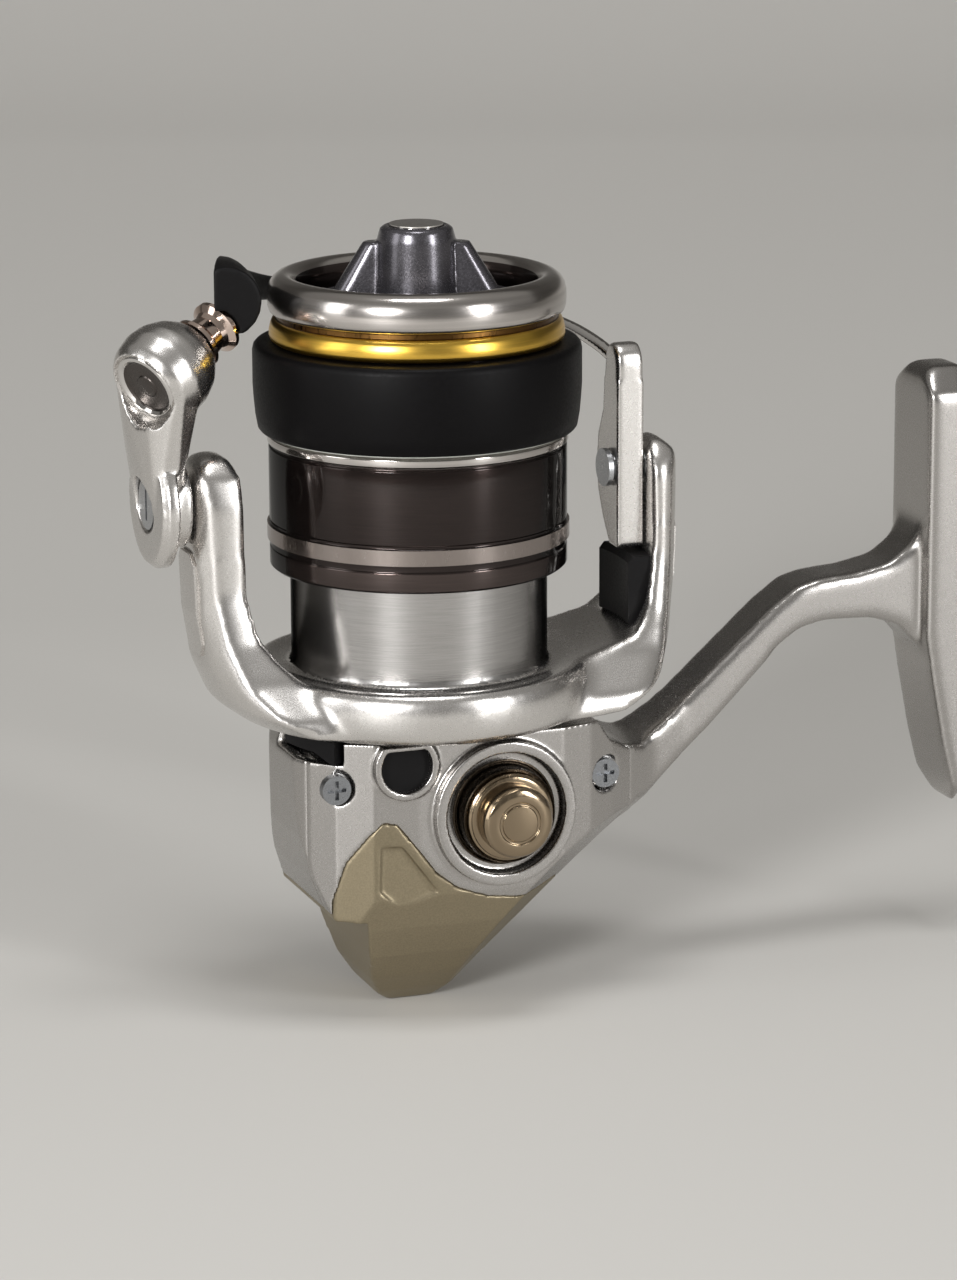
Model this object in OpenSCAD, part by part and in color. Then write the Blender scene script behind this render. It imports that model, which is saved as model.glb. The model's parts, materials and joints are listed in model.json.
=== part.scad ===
// Spinning reel, 2500 size, standing on its tail.
// +Z runs up the spool axis, +X points to the foot, -Y is the side with the capped port,
// and the handle is on the +Y side.  The origin is on the spool axis, on the tail's rest plane.

/* [Spool] */
// Radius of the spool lip, the polished front edge that the line leaves
lip_r = 23; // [22:0.25:24]
// Height of the spool lip above the tail
lip_top = 115; // [114:0.5:116]
// Depth of the spool lip
lip_h = 6; // [5:0.25:7]
// Radius of the hollow in the front of the spool
recess_r = 18.2; // [17.2:0.1:18.8]
// Height of the gold ring under the lip
gold_h = 4.2; // [3.4:0.1:4.6]
// Radius of the gold ring
gold_r = 22.8; // [22:0.1:23.2]
// Height of the line space between the two flanges
line_h = 13.4; // [12.4:0.2:13.8]
// Radius of the arbor that the line is wound on
arbor_r = 13.5; // [12.8:0.1:15]
// Outer radius of the wound line
line_r = 23.6; // [22.5:0.1:23.8]
// Thickness of the elastic band that holds the line
band_t = 1.8; // [1:0.1:2.2]
// Radius of the lower flange
flange_r = 23.3; // [22.5:0.1:23.6]
// Outer radius of the spool skirt
skirt_r = 23.1; // [22.6:0.1:23.4]
// Wall of the spool skirt
skirt_wall = 1.2; // [0.8:0.1:1.5]
// Height of the skirt below the lower flange
skirt_h = 19.5; // [17:0.5:20]
// Height of the raised ring round the skirt
skirt_ring_h = 2.4; // [1.5:0.1:3]

/* [Drag knob] */
// Radius of the dished base of the drag knob
knob_r = 16; // [14:0.5:16.5]
// Height of the drag knob above the spool lip
knob_rise = 7.3; // [5:0.1:7.5]
// Radius of the top of the grip
grip_r = 5.6; // [5:0.1:6]

/* [Main shaft] */
// Radius of the main shaft
shaft_r = 2; // [1.8:0.05:2.2]
// Stroke of the spool
stroke = 12; // [8:0.5:12]

/* [Rotor] */
// Radius of the rotor's drum
drum_r = 20; // [19:0.1:20.6]
// Wall of the drum
drum_wall = 1.6; // [1:0.1:2]
// Top of the drum
drum_top = 75; // [70:0.5:75.4]
// Height of the rotor's underside above the tail
rotor_base = 46; // [45.9:0.1:47]
// Radius of the rotor's rim
rim_r = 27; // [26:0.25:28]
// Radius of the outside of the rotor arm that carries the line roller
arm_r = 37.9; // [37.4:0.1:38.6]
// Radius of the outside of the other rotor arm
lever_arm_r = 41.8; // [40.5:0.1:43]
// Half the width of a rotor arm at the bail pivot
arm_half_w = 6.8; // [6.4:0.1:7.4]
// Height of the bail's pivot axis
pivot_z = 82; // [81:0.25:83]

/* [Bail] */
// Radius of the bail pivot screws
pivot_r = 2; // [1.6:0.1:2.4]
// Radius of the bail arm round its pivot
boss_r = 7; // [6:0.25:8]
// Radius of the round plate at the foot of the bail arm
bail_foot_r = 10; // [9:0.1:10.4]
// Thickness of the bail arm at its pivot
bail_arm_t = 5.6; // [5:0.1:6]
// Radius of the bail arm's head, which holds the line roller
head_r = 7.6; // [7:0.1:8]
// Radius of the line roller's rims
roller_r = 4.2; // [3.6:0.1:4.6]
// Width of the line roller
roller_w = 5.6; // [5:0.1:6]
// Radius of the bail wire
wire_r = 1.1; // [0.8:0.05:1.2]
// Radius of the big end of the line guard
cone_r = 5.8; // [5.2:0.05:6]
// Thickness of the bail lever
lever_t = 4.4; // [3:0.1:4.6]
// Width of the bail lever
lever_w = 6; // [5.4:0.1:7]

/* [Body] */
// Half the width of the body across its two sides
body_half_w = 16.5; // [16:0.25:17.5]
// Wall of the body, the side cover and the rear cover
wall = 1.8; // [1.4:0.1:2.2]
// Top of the body, below the rotor
body_top = 45; // [44.5:0.1:45]
// Place of the joint between the body and its side cover
split_y = -9; // [-10:0.25:-8.75]
// Radius of the raised boss round the port
port_boss_r = 11.5; // [11:0.1:12]
// Height of that boss above the side cover
port_boss_h = 1.8; // [1:0.1:2.5]
// Radius of the port's lower ring
port_ring_r = 7.4; // [7:0.1:8]
// Radius of the port's cap
port_cap_r = 5.6; // [5:0.1:6]
// Radius of the heads of the body screws
screw_head_r = 2.3; // [1.8:0.1:2.5]

/* [Foot] */
// Distance of the foot's rod face from the spool axis
foot_x = 91.5; // [91:0.25:92]
// Height of the middle of the foot
foot_z = 58.5; // [58:0.25:59]
// Length of the foot
foot_l = 73; // [68:0.5:74]
// Width of the foot
foot_w = 15; // [13:0.25:16]
// Thickness of the foot where the stem joins it
foot_t = 7.5; // [6:0.25:8]
// Half the width of the stem
stem_half_w = 5; // [4:0.25:6]

/* [Gears and handle] */
// Distance of the drive axis from the spool axis
drive_x = 7.8; // [7.6:0.1:8.2]
// Height of the drive axis
drive_z = 32.6; // [32.4:0.1:32.8]
// Radius of the drive shaft
drive_r = 3.5; // [3.2:0.05:3.6]
// Outer radius of the drive gear
gear_r = 9.8; // [9.4:0.1:9.9]
// Teeth on the drive gear
gear_teeth = 40; // [32:8:48]
// Teeth on the pinion
pinion_teeth = 8; // [8]
// Outer radius of the pinion's teeth
pinion_r = 4.2; // [4:0.05:4.3]
// Teeth on the oscillating gear
swing_teeth = 28; // [24:2:32]
// Teeth on the small gear that drives it
swing_pinion_teeth = 13; // [11:1:15]
// Length of the handle arm between its two axes
handle_l = 50; // [45:1:55]
// Lean of the handle arm away from upright
handle_lean = 20; // [0:1:25]
// Distance of the handle arm from the spool axis
handle_y = 50; // [50:0.5:54]
// Thickness of the handle arm
handle_t = 4.5; // [3.5:0.1:5.5]
// Largest radius of the handle knob
handle_knob_r = 9.5; // [8:0.25:11]
// Length of the handle knob
handle_knob_l = 28; // [24:0.5:32]

/* [Fits] */
// Radial clearance of a running fit
run = 0.05; // [0.02:0.01:0.08]
// Clearance between neighbouring pieces that move past each other
gap = 0.4; // [0.3:0.05:0.5]

/* [Hidden] */
$fn = 64;

// Colours
satin = [0.78, 0.78, 0.79];
steel = [0.62, 0.63, 0.65];
smoke = [0.22, 0.20, 0.20];
black = [0.09, 0.09, 0.10];
gold = [0.80, 0.66, 0.28];
bronze = [0.60, 0.55, 0.46];
champagne = [0.57, 0.54, 0.46];
brass = [0.76, 0.62, 0.34];

// Heights on the spool, from the lip downwards
lip_z = lip_top - lip_h;
gold_z = lip_z - gold_h;
upper_flange_t = 0.8;
line_top = gold_z - upper_flange_t;
line_z = line_top - line_h;
lower_flange_t = 1.6;
skirt_top = line_z - lower_flange_t;
skirt_z = line_z - skirt_h - lower_flange_t;
skirt_ring_z = skirt_z + 4.4;
band_r = line_r + band_t;
band_z = line_z + 0.3;
band_top = line_top - 0.1;
hub_z = line_z - 3.5;
hub_r = 5;
seat_t = 2.5;
seat_z = gold_z - 8.8;
drag_r = 11;

// Heights on the drag knob
recess_floor = lip_z - 0.4;
knob_base = recess_floor + gap;
knob_top = lip_top + knob_rise;

// Stations along the main axis
plate_t = 2.4;
plate_z = body_top - plate_t;
bearing_h = 3;
bearing_r = 6.5;
bearing_z = plate_z - 0.4;
neck_r = 10.4;
clutch_z = body_top + 0.2;
clutch_h = 4.6;
neck_top = clutch_z + clutch_h;
clutch_r = 8.6;
hub_plate_z = neck_top + 1.2 + gap;
hub_plate_t = 2.5;
pinion_z = 34.2;
pinion_tooth_h = 6;
pinion_shank_r = 3;
bush_h = 3;
bush_r = 3.8;
bush_z = pinion_z - bush_h - gap;
slider_z = bush_z - gap - 8;
slider_h = 8;
guide_x = -8;
guide_r = 1.2;
guide_z = 3.4;
switch_r = neck_r + 2.4;
switch_floor = body_top - 1.2;
switch_low = body_top - 3.4;
switch_a = -171;
switch_b = -143;
switch_travel = 13;
front_x = -23;
rim_top = rotor_base + 8.8;
port_rim_r = port_boss_r - 1.8;
port_y = -body_half_w + 0.5;
port_ring_top = -body_half_w - port_boss_h - 2.4;

// Drive side
drive_bearing_t = 4;
drive_bearing_r = 6.5;
bearing_boss_r = drive_bearing_r + wall;
left_bearing_y = -body_half_w + 1.7;
right_bearing_y = body_half_w - 1 - drive_bearing_t;
gear_y = -pinion_r - 0.15;
gear_t = 2.6;
swing_y = 4.4;
swing_t = 3;
swing_pinion_r = 4.7;
swing_x = -1;
swing_z = 20.5;
post_r = 3.4;
swing_r = norm([drive_x - swing_x, drive_z - swing_z]) - swing_pinion_r - 0.15;
crank_r = 6;
handle_dx = handle_l * sin(handle_lean);
handle_dz = handle_l * cos(handle_lean);
grip_x = drive_x + handle_dx;
grip_z = drive_z + handle_dz;
knob_shaft_r = 2;
knob_start = handle_y + handle_t + 0.8;

// Screws: [x, z, distance of the head from the spool axis along Y]
screw_spots = [[-18.6, 38, 14.4], [26.2, 36, 12.8]];
rear_spot = [-8.5, 15.5];
tab_y = 11.6;
screw_boss_r = 2.8;
screw_r = 1.2;
screw_l = 16;

// Rotor arms, and the lever and spring inside the right one
left_in = 30.6;
right_in = lever_arm_r - 5.2;
cavity_z = rotor_base + 14;
cavity_h = 15.5;
lever_x = right_in - 0.3 - lever_t;

// Spool bore, drag stack and drag knob
shaft_top = lip_top + 2.5;
click_h = 1.8;
gold_in_r = 17;
washer_t = 1.1;
washer_pitch = 1.2;
washer_count = 4;
washer_z = seat_z + seat_t;
retainer_z = washer_z + washer_count * washer_pitch;
insert_r = 4.2;

// Line roller axis: from the middle of the bail arm's outer cap towards the spool
roller_from = [-46, -6, pivot_z + 18.5];
roller_dir = [0.8, 0.42, 0.43] / norm([0.8, 0.42, 0.43]);
head_l = 12.2;
roller_s = head_l + gap;
cone_s = roller_s + roller_w + gap;
guard_cut = 30.4;
pin_r = 1.6;
bush_t = 0.8;

// Line guard and bail wire: [x, y, height above the pivot axis, radius]
cone_path = [
  [-31.2, -2.4, 30.4, cone_r * 0.94], [-30.6, 2.4, 30.5, cone_r],
  [-29.2, 7.4, 30.7, cone_r * 0.9], [-27.6, 12.6, 30.8, cone_r * 0.74],
  [-26, 18.6, 29.6, cone_r * 0.61], [-21.6, 25.6, 28.3, cone_r * 0.49],
  [-14, 32.4, 26.2, cone_r * 0.34], [-5, 37, 24.8, wire_r * 1.25]
];
wire_path = [
  [-5, 37, 24.8, wire_r], [4, 38.2, 24, wire_r], [13, 36.2, 23, wire_r],
  [21, 31, 22, wire_r], [27.4, 23.4, 21, wire_r], [31, 15, 19.8, wire_r],
  [33, 8, 18.2, wire_r], [34, 3.3, 16.6, wire_r]
];

// Side outline of the body and its rear cover, in X and Z
body_outline = [
  [-21.8, body_top], [front_x, 41], [front_x + 0.2, 35], [-22.4, 29], [-21, 22.6], [-18.6, 16.6],
  [-13.8, 16.2], [-12.8, 10.6], [-11.4, 5], [-9.4, 1.7], [-7.2, 0], [0.4, 0], [2.8, 2.8],
  [8.7, 9], [14.6, 14.4], [18.4, 18], [22.6, 21.8], [26.5, 24.6], [30.7, 27.4], [34, 29.4],
  [34.6, 37.4], [31, 39], [27, 41.4], [24.4, body_top]
];
// Half outline of the body seen from the foot, in Y and Z: the tail is rounded off
tail_half = [
  [4.3, -1], [4.3, 0], [7, 2.4], [9.6, 5.5], [12, 9.6], [14.2, 14.5], [16, 20], [body_half_w, 25],
  [body_half_w, 60]
];
// Half outline of the body seen along its sloping underside: distance out from the axis
// of that slope, and Y.  It bevels the long lower edges.
under_slope = 40;
under_half = [[20, 6.3], [0, 6.3], [-7.3, body_half_w + 0.1], [-80, body_half_w + 0.1]];
// Upper edge of the rear cover, seen from the side
cover_edge = [
  [-30, 15.2], [-19, 15.2], [-18.7, 20.4], [-17, 26], [-13.4, 30.8], [-11.6, 32.4], [-9.4, 32],
  [-5.8, 27.4], [-3, 23.6], [0.6, 20.8], [5.6, 18.9], [10.5, 18.2], [14.6, 18.6],
  [18.6, 19.4], [28, 15], [40, -5], [-30, -5]
];
// Shallow triangular hollow in the side of the rear cover
facet = [[-12, 28.6], [-12.2, 21.4], [-9, 18.4], [-2.6, 20.4], [-8.6, 28.4]];
// Half outline of the body seen from above, in X and Y
plan_half = [
  [front_x - 4, 3], [front_x, 6], [-21.4, 10], [-18.4, 13.2], [-13, body_half_w - 0.6], [-6, body_half_w],
  [drive_x + 10, body_half_w], [23, 15.2], [27.5, 12.6], [32, 9], [37, stem_half_w + 1],
  [43, stem_half_w], [100, stem_half_w]
];
// Outline of the stem between the body and the foot, in X and Z
stem_outline = [
  [29, 26.6], [33.4, 27.8], [36.2, 29.6], [46.4, 38.4], [56.8, 48.6], [59.4, 51.6], [63, 54],
  [67.6, 55], [75.8, 54.6], [80.4, 53], [foot_x - foot_t, 49], [foot_x - 2, 49],
  [foot_x - 2, 70], [foot_x - foot_t, 70], [82.2, 66.2], [78.6, 63.6], [72.6, 62.4], [66.4, 62],
  [62.6, 61], [57.8, 57.6], [49.2, 50], [40.6, 42.4], [35, 38.6], [28, 39.6]
];

// Moves each corner of an outline inwards by d (corners run anticlockwise)
function unit2(v) = v / norm(v);
function inset(pts, d) = [
  for (i = [0 : len(pts) - 1])
    let (
      n = len(pts),
      a = unit2(pts[i] - pts[(i + n - 1) % n]),
      b = unit2(pts[(i + 1) % n] - pts[i]),
      m = unit2([-a[1] - b[1], a[0] + b[0]]),
      k = d / max(0.5, m * [-a[1], a[0]])
    )
    pts[i] + m * k
];
function plan_outline() = concat(
  [for (p = plan_half) [p[0], -p[1]]],
  [for (i = [len(plan_half) - 1 : -1 : 0]) plan_half[i]]
);

// Extrudes an outline drawn in X and Z from y0 to y1
module slab(y0, y1) {
  translate([0, y1, 0]) rotate([90, 0, 0]) linear_extrude(y1 - y0) children();
}
module ring(r_out, r_in, z0, h) {
  translate([0, 0, z0]) difference() {
    cylinder(r = r_out, h = h);
    translate([0, 0, -1]) cylinder(r = r_in, h = h + 2);
  }
}
module rod_y(x, z, r, y0, y1) {
  translate([x, y0, z]) rotate([-90, 0, 0]) cylinder(r = r, h = y1 - y0);
}
module rod_x(y, z, r, x0, x1) {
  translate([x0, y, z]) rotate([0, 90, 0]) cylinder(r = r, h = x1 - x0);
}
module ring_y(x, z, r_out, r_in, y0, y1) {
  difference() {
    rod_y(x, z, r_out, y0, y1);
    rod_y(x, z, r_in, y0 - 1, y1 + 1);
  }
}
// Places its children on the line roller's axis, a distance s along it
module on_roller(s) {
  translate(roller_from + s * roller_dir)
    rotate([0, acos(roller_dir[2]), atan2(roller_dir[1], roller_dir[0])]) children();
}
// Spur gear of n teeth about Z, with tips at radius r
module spur(n, r, depth, h) {
  p = 360 / n;
  linear_extrude(h) polygon([for (i = [0 : n - 1]) for (c = [[0, 1], [0.14, 0], [0.42, 0], [0.56, 1]])
    let (a = p * (i + c[0] - 0.28), q = r - depth * c[1]) q * [cos(a), sin(a)]]);
}
// A tube along a list of [x, y, z, r] points, closed at both ends
module tube(path, sides) {
  n = len(path);
  frames = [for (i = [0 : n - 1])
    let (
      p = [for (k = [0 : 2]) path[min(i + 1, n - 1)][k] - path[max(i - 1, 0)][k]],
      t = p / norm(p),
      s = cross(t, [0, 0, 1]) / norm(cross(t, [0, 0, 1])),
      u = cross(s, t)
    )
    [s, u]];
  points = [for (i = [0 : n - 1]) for (j = [0 : sides - 1])
    let (c = [path[i][0], path[i][1], path[i][2]], a = 360 * j / sides)
      c + path[i][3] * (frames[i][0] * cos(a) + frames[i][1] * sin(a))];
  walls = [for (i = [0 : n - 2]) for (j = [0 : sides - 1])
    [i * sides + j, i * sides + (j + 1) % sides,
     (i + 1) * sides + (j + 1) % sides, (i + 1) * sides + j]];
  ends = [[for (j = [sides - 1 : -1 : 0]) j], [for (j = [0 : sides - 1]) (n - 1) * sides + j]];
  polyhedron(points = points, faces = concat(walls, ends));
}
// Smooth curve through the points of a path, with m steps between two points
function spline_at(a, b, c, d, t) =
  0.5 * ((2 * b) + (c - a) * t + (2 * a - 5 * b + 4 * c - d) * t * t
  + (3 * b - a - 3 * c + d) * t * t * t);
function spline(p, m) = let (n = len(p)) concat(
  [for (i = [0 : n - 2]) for (j = [0 : m - 1])
    spline_at(p[max(i - 1, 0)], p[i], p[i + 1], p[min(i + 2, n - 1)], j / m)],
  [p[n - 1]]
);
function at_roller(s, r) = let (c = roller_from + s * roller_dir) [c[0], c[1], c[2], r];
function lift(p) = [for (q = p) [q[0], q[1], q[2] + pivot_z, q[3]]];

// ---- Body ----

module under_bevel(d) {
  translate([-40, 0, -45]) rotate([0, -under_slope, 0]) rotate([90, 0, 90]) linear_extrude(260)
    polygon(inset([for (p = under_outline()) [p[1], -p[0] + 45 * cos(under_slope)
      - 40 * sin(under_slope)]], d));
}
module body_block(d) {
  intersection() {
    slab(-body_half_w + d, body_half_w - d) polygon(inset(body_outline, d));
    translate([0, 0, -5]) linear_extrude(60) polygon(inset(plan_outline(), d));
    translate([-40, 0, 0]) rotate([90, 0, 90]) linear_extrude(80)
      polygon(inset(mirrored([for (p = tail_half) [-p[0], p[1]]]), d));
    under_bevel(d);
  }
}
function mirrored(half) = concat(
  [for (i = [len(half) - 1 : -1 : 0]) half[i]], [for (p = half) [-p[0], p[1]]]
);
function under_outline() = concat(
  under_half,
  [for (i = [len(under_half) - 1 : -1 : 0]) [under_half[i][0], -under_half[i][1]]]
);
module cover_zone() {
  slab(-30, 30) polygon(cover_edge);
}
module main_cavity() {
  body_block(wall);
}
module drive_bore(r, y0, y1) {
  rod_y(drive_x, drive_z, r, y0, y1);
}
module top_neck() {
  translate([0, 0, plate_z]) cylinder(r = neck_r, h = neck_top - plate_z);
  translate([0, 0, bearing_z - 0.8]) cylinder(r = bearing_r + 1.6, h = plate_z - bearing_z + 1);
}
module top_bores() {
  translate([0, 0, bearing_z]) cylinder(r = bearing_r, h = bearing_h);
  translate([0, 0, bearing_z - 1]) cylinder(r = bearing_r - 1.2, h = 12);
  translate([0, 0, clutch_z]) cylinder(r = clutch_r, h = 10);
}
module foot() {
  z0 = foot_z - foot_l / 2;
  z1 = foot_z + foot_l / 2;
  x0 = foot_x - foot_t;
  intersection() {
    slab(-foot_w / 2, foot_w / 2) polygon([
      [foot_x, z0], [foot_x, z1], [x0 + 2, z1], [x0 + 0.7, z1 - 0.7], [x0, z1 - 2.4],
      [x0, 51], [x0 + 1.1, 44], [x0 + 3.2, 33], [x0 + 4.9, z0 + 4.4], [foot_x - 1.2, z0 + 0.8]
    ]);
    rotate([0, 90, 0]) linear_extrude(foot_x + 1) polygon([
      [-z0, -foot_w / 2 + 4], [-z0, foot_w / 2 - 4], [-z0 - 4, foot_w / 2], [-z1 + 4, foot_w / 2],
      [-z1, foot_w / 2 - 4], [-z1, -foot_w / 2 + 4], [-z1 + 4, -foot_w / 2], [-z0 - 4, -foot_w / 2]
    ]);
  }
}
module stem() {
  intersection() {
    slab(split_y, body_half_w) polygon(stem_outline);
    translate([0, 0, -5]) linear_extrude(110) polygon(plan_outline());
    under_bevel(0);
  }
}
// Web across the front of the body that carries the pinion's lower bush and the guide rod
module bush_web() {
  web_half_w = 3.9;
  intersection() {
    body_block(0.5);
    translate([-50, -web_half_w, bush_z]) cube([50 + drive_x - drive_r - gap, 2 * web_half_w, bush_h]);
    union() {
      translate([0, 0, bush_z]) cylinder(r = bush_r + 1.2, h = bush_h);
      translate([-50, -web_half_w, bush_z]) cube([50, 2 * web_half_w, bush_h]);
    }
  }
}
module body_housing() {
  color(satin) difference() {
    union() {
      difference() {
        body_block(0);
        main_cavity();
        cover_zone();
        translate([-50, -40, -10]) cube([100, 40 + split_y, 80]);
      }
      difference() {
        union() {
          top_neck();
          intersection() {
            body_block(0.5);
            translate([-50, split_y, plate_z]) cube([100, 60, plate_t]);
          }
          intersection() {
            body_block(0.5);
            drive_bore(bearing_boss_r, right_bearing_y, body_half_w);
          }
        }
        translate([-50, -40, -10]) cube([100, 40 + split_y, 80]);
      }
      drive_bore(bearing_boss_r + 1.6, body_half_w - 0.5, body_half_w + 1);
      intersection() {
        body_block(0.5);
        for (s = screw_spots) rod_y(s[0], s[1], screw_boss_r, split_y, 30);
      }
      bush_web();
      swing_post();
      cover_tab();
      stem();
      foot();
    }
    top_bores();
    translate([0, 0, bush_z - 1]) cylinder(r = bush_r, h = 6);
    translate([guide_x, 0, guide_z]) cylinder(r = guide_r, h = plate_z - guide_z);
    drive_bore(drive_bearing_r, right_bearing_y, right_bearing_y + drive_bearing_t);
    drive_bore(5.6, 0, 30);
    drive_bore(gear_r + gap, gear_y - 2 - gear_t - gap, gear_y + gap);
    rod_y(rear_spot[0], rear_spot[1], screw_r, 0, tab_y + 1);
    for (s = screw_spots) rod_y(s[0], s[1], screw_r, -20, screw_l - s[2] + 0.5);
    switch_pocket();
  }
}
module side_cover() {
  color(satin) difference() {
    union() {
      difference() {
        intersection() {
          body_block(0);
          translate([-50, -40, -10]) cube([100, 40 + split_y, 80]);
        }
        intersection() {
          main_cavity();
          translate([-50, -body_half_w + wall, -10]) cube([100, 40, 80]);
        }
        cover_zone();
      }
      ring_y(drive_x, drive_z, port_boss_r, port_rim_r, -body_half_w - port_boss_h,
        -body_half_w + wall);
      drive_bore(bearing_boss_r, -body_half_w, left_bearing_y + drive_bearing_t);
      intersection() {
        body_block(0.5);
        for (s = screw_spots) rod_y(s[0], s[1], screw_boss_r, -30, split_y);
      }
      slab(-body_half_w - 0.7, -body_half_w + 1) window(5.2, 5.4);
    }
    slab(-body_half_w - 3, -body_half_w + wall + 3) window(4.1, 4.2);
    drive_bore(drive_bearing_r, left_bearing_y, 0);
    drive_bore(port_cap_r - 1, -40, 0);
    drive_bore(port_rim_r, -body_half_w - 1, port_y);
    for (s = screw_spots) {
      rod_y(s[0], s[1], screw_r, -30, 0);
      rod_y(s[0], s[1], screw_head_r + 0.6, -30, -s[2] + 1.4);
    }
    translate([0, 0, bearing_z - 0.4]) cylinder(r = bearing_r + 1.8, h = 12);
    translate([0, 0, body_top - 0.2]) cylinder(r = neck_r + 0.2, h = 12);
    switch_pocket();
  }
}
// D-shaped window in the side cover
module window(w, h) {
  translate([-8, 41.2]) {
    difference() {
      circle(r = w);
      translate([-20, h * 0.64]) square([40, 20]);
    }
  }
}
module rear_cover() {
  color(champagne) difference() {
    intersection() {
      body_block(0);
      cover_zone();
    }
    difference() {
      main_cavity();
      rod_y(rear_spot[0], rear_spot[1], screw_boss_r, tab_y + 0.05, 30);
      translate([guide_x, 0, 0]) cylinder(r = guide_r + 1.6, h = 7);
    }
    rod_y(rear_spot[0], rear_spot[1], screw_r, 0, 30);
    rod_y(rear_spot[0], rear_spot[1], screw_head_r, tab_y + 2, 30);
    translate([guide_x, 0, guide_z]) cylinder(r = guide_r, h = 30);
    slab(-body_half_w - 1, -body_half_w + 0.9) polygon(facet);
  }
}
// Plug of soft plastic in the side cover's window
module window_plug() {
  color(black) {
    slab(-body_half_w + 0.8, -body_half_w + wall + 0.6) window(4.1, 4.2);
  }
}

// A pan-head screw along +Y, its head's outer face at y
module screw(x, z, y, l) {
  difference() {
    union() {
      rod_y(x, z, screw_head_r, y, y + 1.6);
      rod_y(x, z, screw_r, y + 1.6, y + l);
    }
    translate([x - 1.5, y - 1, z - 0.3]) cube([3, 1.8, 0.6]);
    translate([x - 0.3, y - 1, z - 1.5]) cube([0.6, 1.8, 3]);
  }
}
module body_screws() {
  color(steel) for (s = screw_spots) screw(s[0], s[1], -s[2] - 0.2, screw_l);
}
module rear_cover_screw() {
  color(steel) mirror([0, 1, 0]) screw(rear_spot[0], rear_spot[1], -tab_y - 3.6, 6);
}
module port_ring() {
  color(bronze) {
    ring_y(drive_x, drive_z, port_ring_r + 1, port_cap_r - 1, port_y - 1, port_y);
    ring_y(drive_x, drive_z, port_ring_r, port_cap_r - 1, port_ring_top, port_y - 1);
  }
}
module port_cap() {
  y = port_ring_top;
  color(bronze) {
    translate([drive_x, y, drive_z]) rotate([90, 0, 0]) rotate_extrude() polygon([
      [0, 0], [port_cap_r, 0], [port_cap_r, 2.6], [port_cap_r - 0.7, 3.4], [0, 3.6]
    ]);
    rod_y(drive_x, drive_z, port_cap_r - 1, y, left_bearing_y - 0.3);
  }
}
module ball_bearing(r_out, r_in, h) {
  difference() {
    cylinder(r = r_out, h = h);
    translate([0, 0, -1]) cylinder(r = r_in, h = h + 2);
    for (z = [-1, h - 0.3]) translate([0, 0, z]) difference() {
      cylinder(r = r_out - 0.9, h = 1.3);
      translate([0, 0, -1]) cylinder(r = r_in + 0.8, h = 4);
    }
  }
}
module drive_bearing_left() {
  color(steel) translate([drive_x, left_bearing_y, drive_z]) rotate([-90, 0, 0])
    ball_bearing(drive_bearing_r, drive_r + run, drive_bearing_t);
}
module drive_bearing_right() {
  color(steel) translate([drive_x, right_bearing_y, drive_z]) rotate([-90, 0, 0])
    ball_bearing(drive_bearing_r, drive_r + run, drive_bearing_t);
}
module pinion_bearing() {
  color(steel) translate([0, 0, bearing_z])
    ball_bearing(bearing_r, pinion_shank_r + run, bearing_h);
}
module pinion_bush() {
  color(brass) ring(bush_r, shaft_r + run, bush_z, bush_h);
}
module roller_clutch() {
  color(steel) {
    ring(clutch_r, pinion_shank_r + run + 1.2, clutch_z, clutch_h - 0.8);
    for (i = [0 : 5]) rotate([0, 0, 60 * i]) translate([pinion_shank_r + run + 0.65, 0, clutch_z])
      cylinder(r = 0.6, h = clutch_h - 0.8);
  }
}
module clutch_cover() {
  color(black) ring(neck_r, pinion_shank_r + 0.8, neck_top, 1.2);
}
// Sector about the spool axis between two radii, from angle a to angle b
module sector(r0, r1, a, b, z0, z1) {
  translate([0, 0, z0]) linear_extrude(z1 - z0) intersection() {
    difference() {
      circle(r = r1, $fn = 96);
      circle(r = r0);
    }
    polygon([[0, 0], 40 * [cos(a), sin(a)], 40 * [cos((a + b) / 2), sin((a + b) / 2)],
      40 * [cos(b), sin(b)]]);
  }
}
module anti_reverse_lever() {
  color(black) {
    ring(switch_r, neck_r + run, body_top + 0.1, 1.4);
    sector(switch_r - 1, 20, switch_a + 3, switch_b - 3, switch_floor + 0.2, body_top + 0.5);
    intersection() {
      sector(19, 23.6, switch_a, switch_b, switch_low + 0.3, body_top + 0.5);
      slab(-30, 0) polygon([
        [-30, switch_low + 2.4], [-21, switch_low + 1.8], [-18.8, switch_low], [-10, switch_low],
        [-10, body_top + 1], [-30, body_top + 1]
      ]);
    }
  }
}
// Room for the lever and its travel in the top of the body
module switch_pocket() {
  sector(neck_r, 20, switch_a - switch_travel, switch_b, switch_floor, body_top + 5);
  sector(18.4, 40, switch_a - switch_travel - 1.5, switch_b + 1.5, switch_low, body_top + 5);
}
module guide_rod() {
  color(steel) translate([guide_x, 0, guide_z]) cylinder(r = guide_r, h = plate_z - guide_z);
}

// ---- Drive train ----

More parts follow.
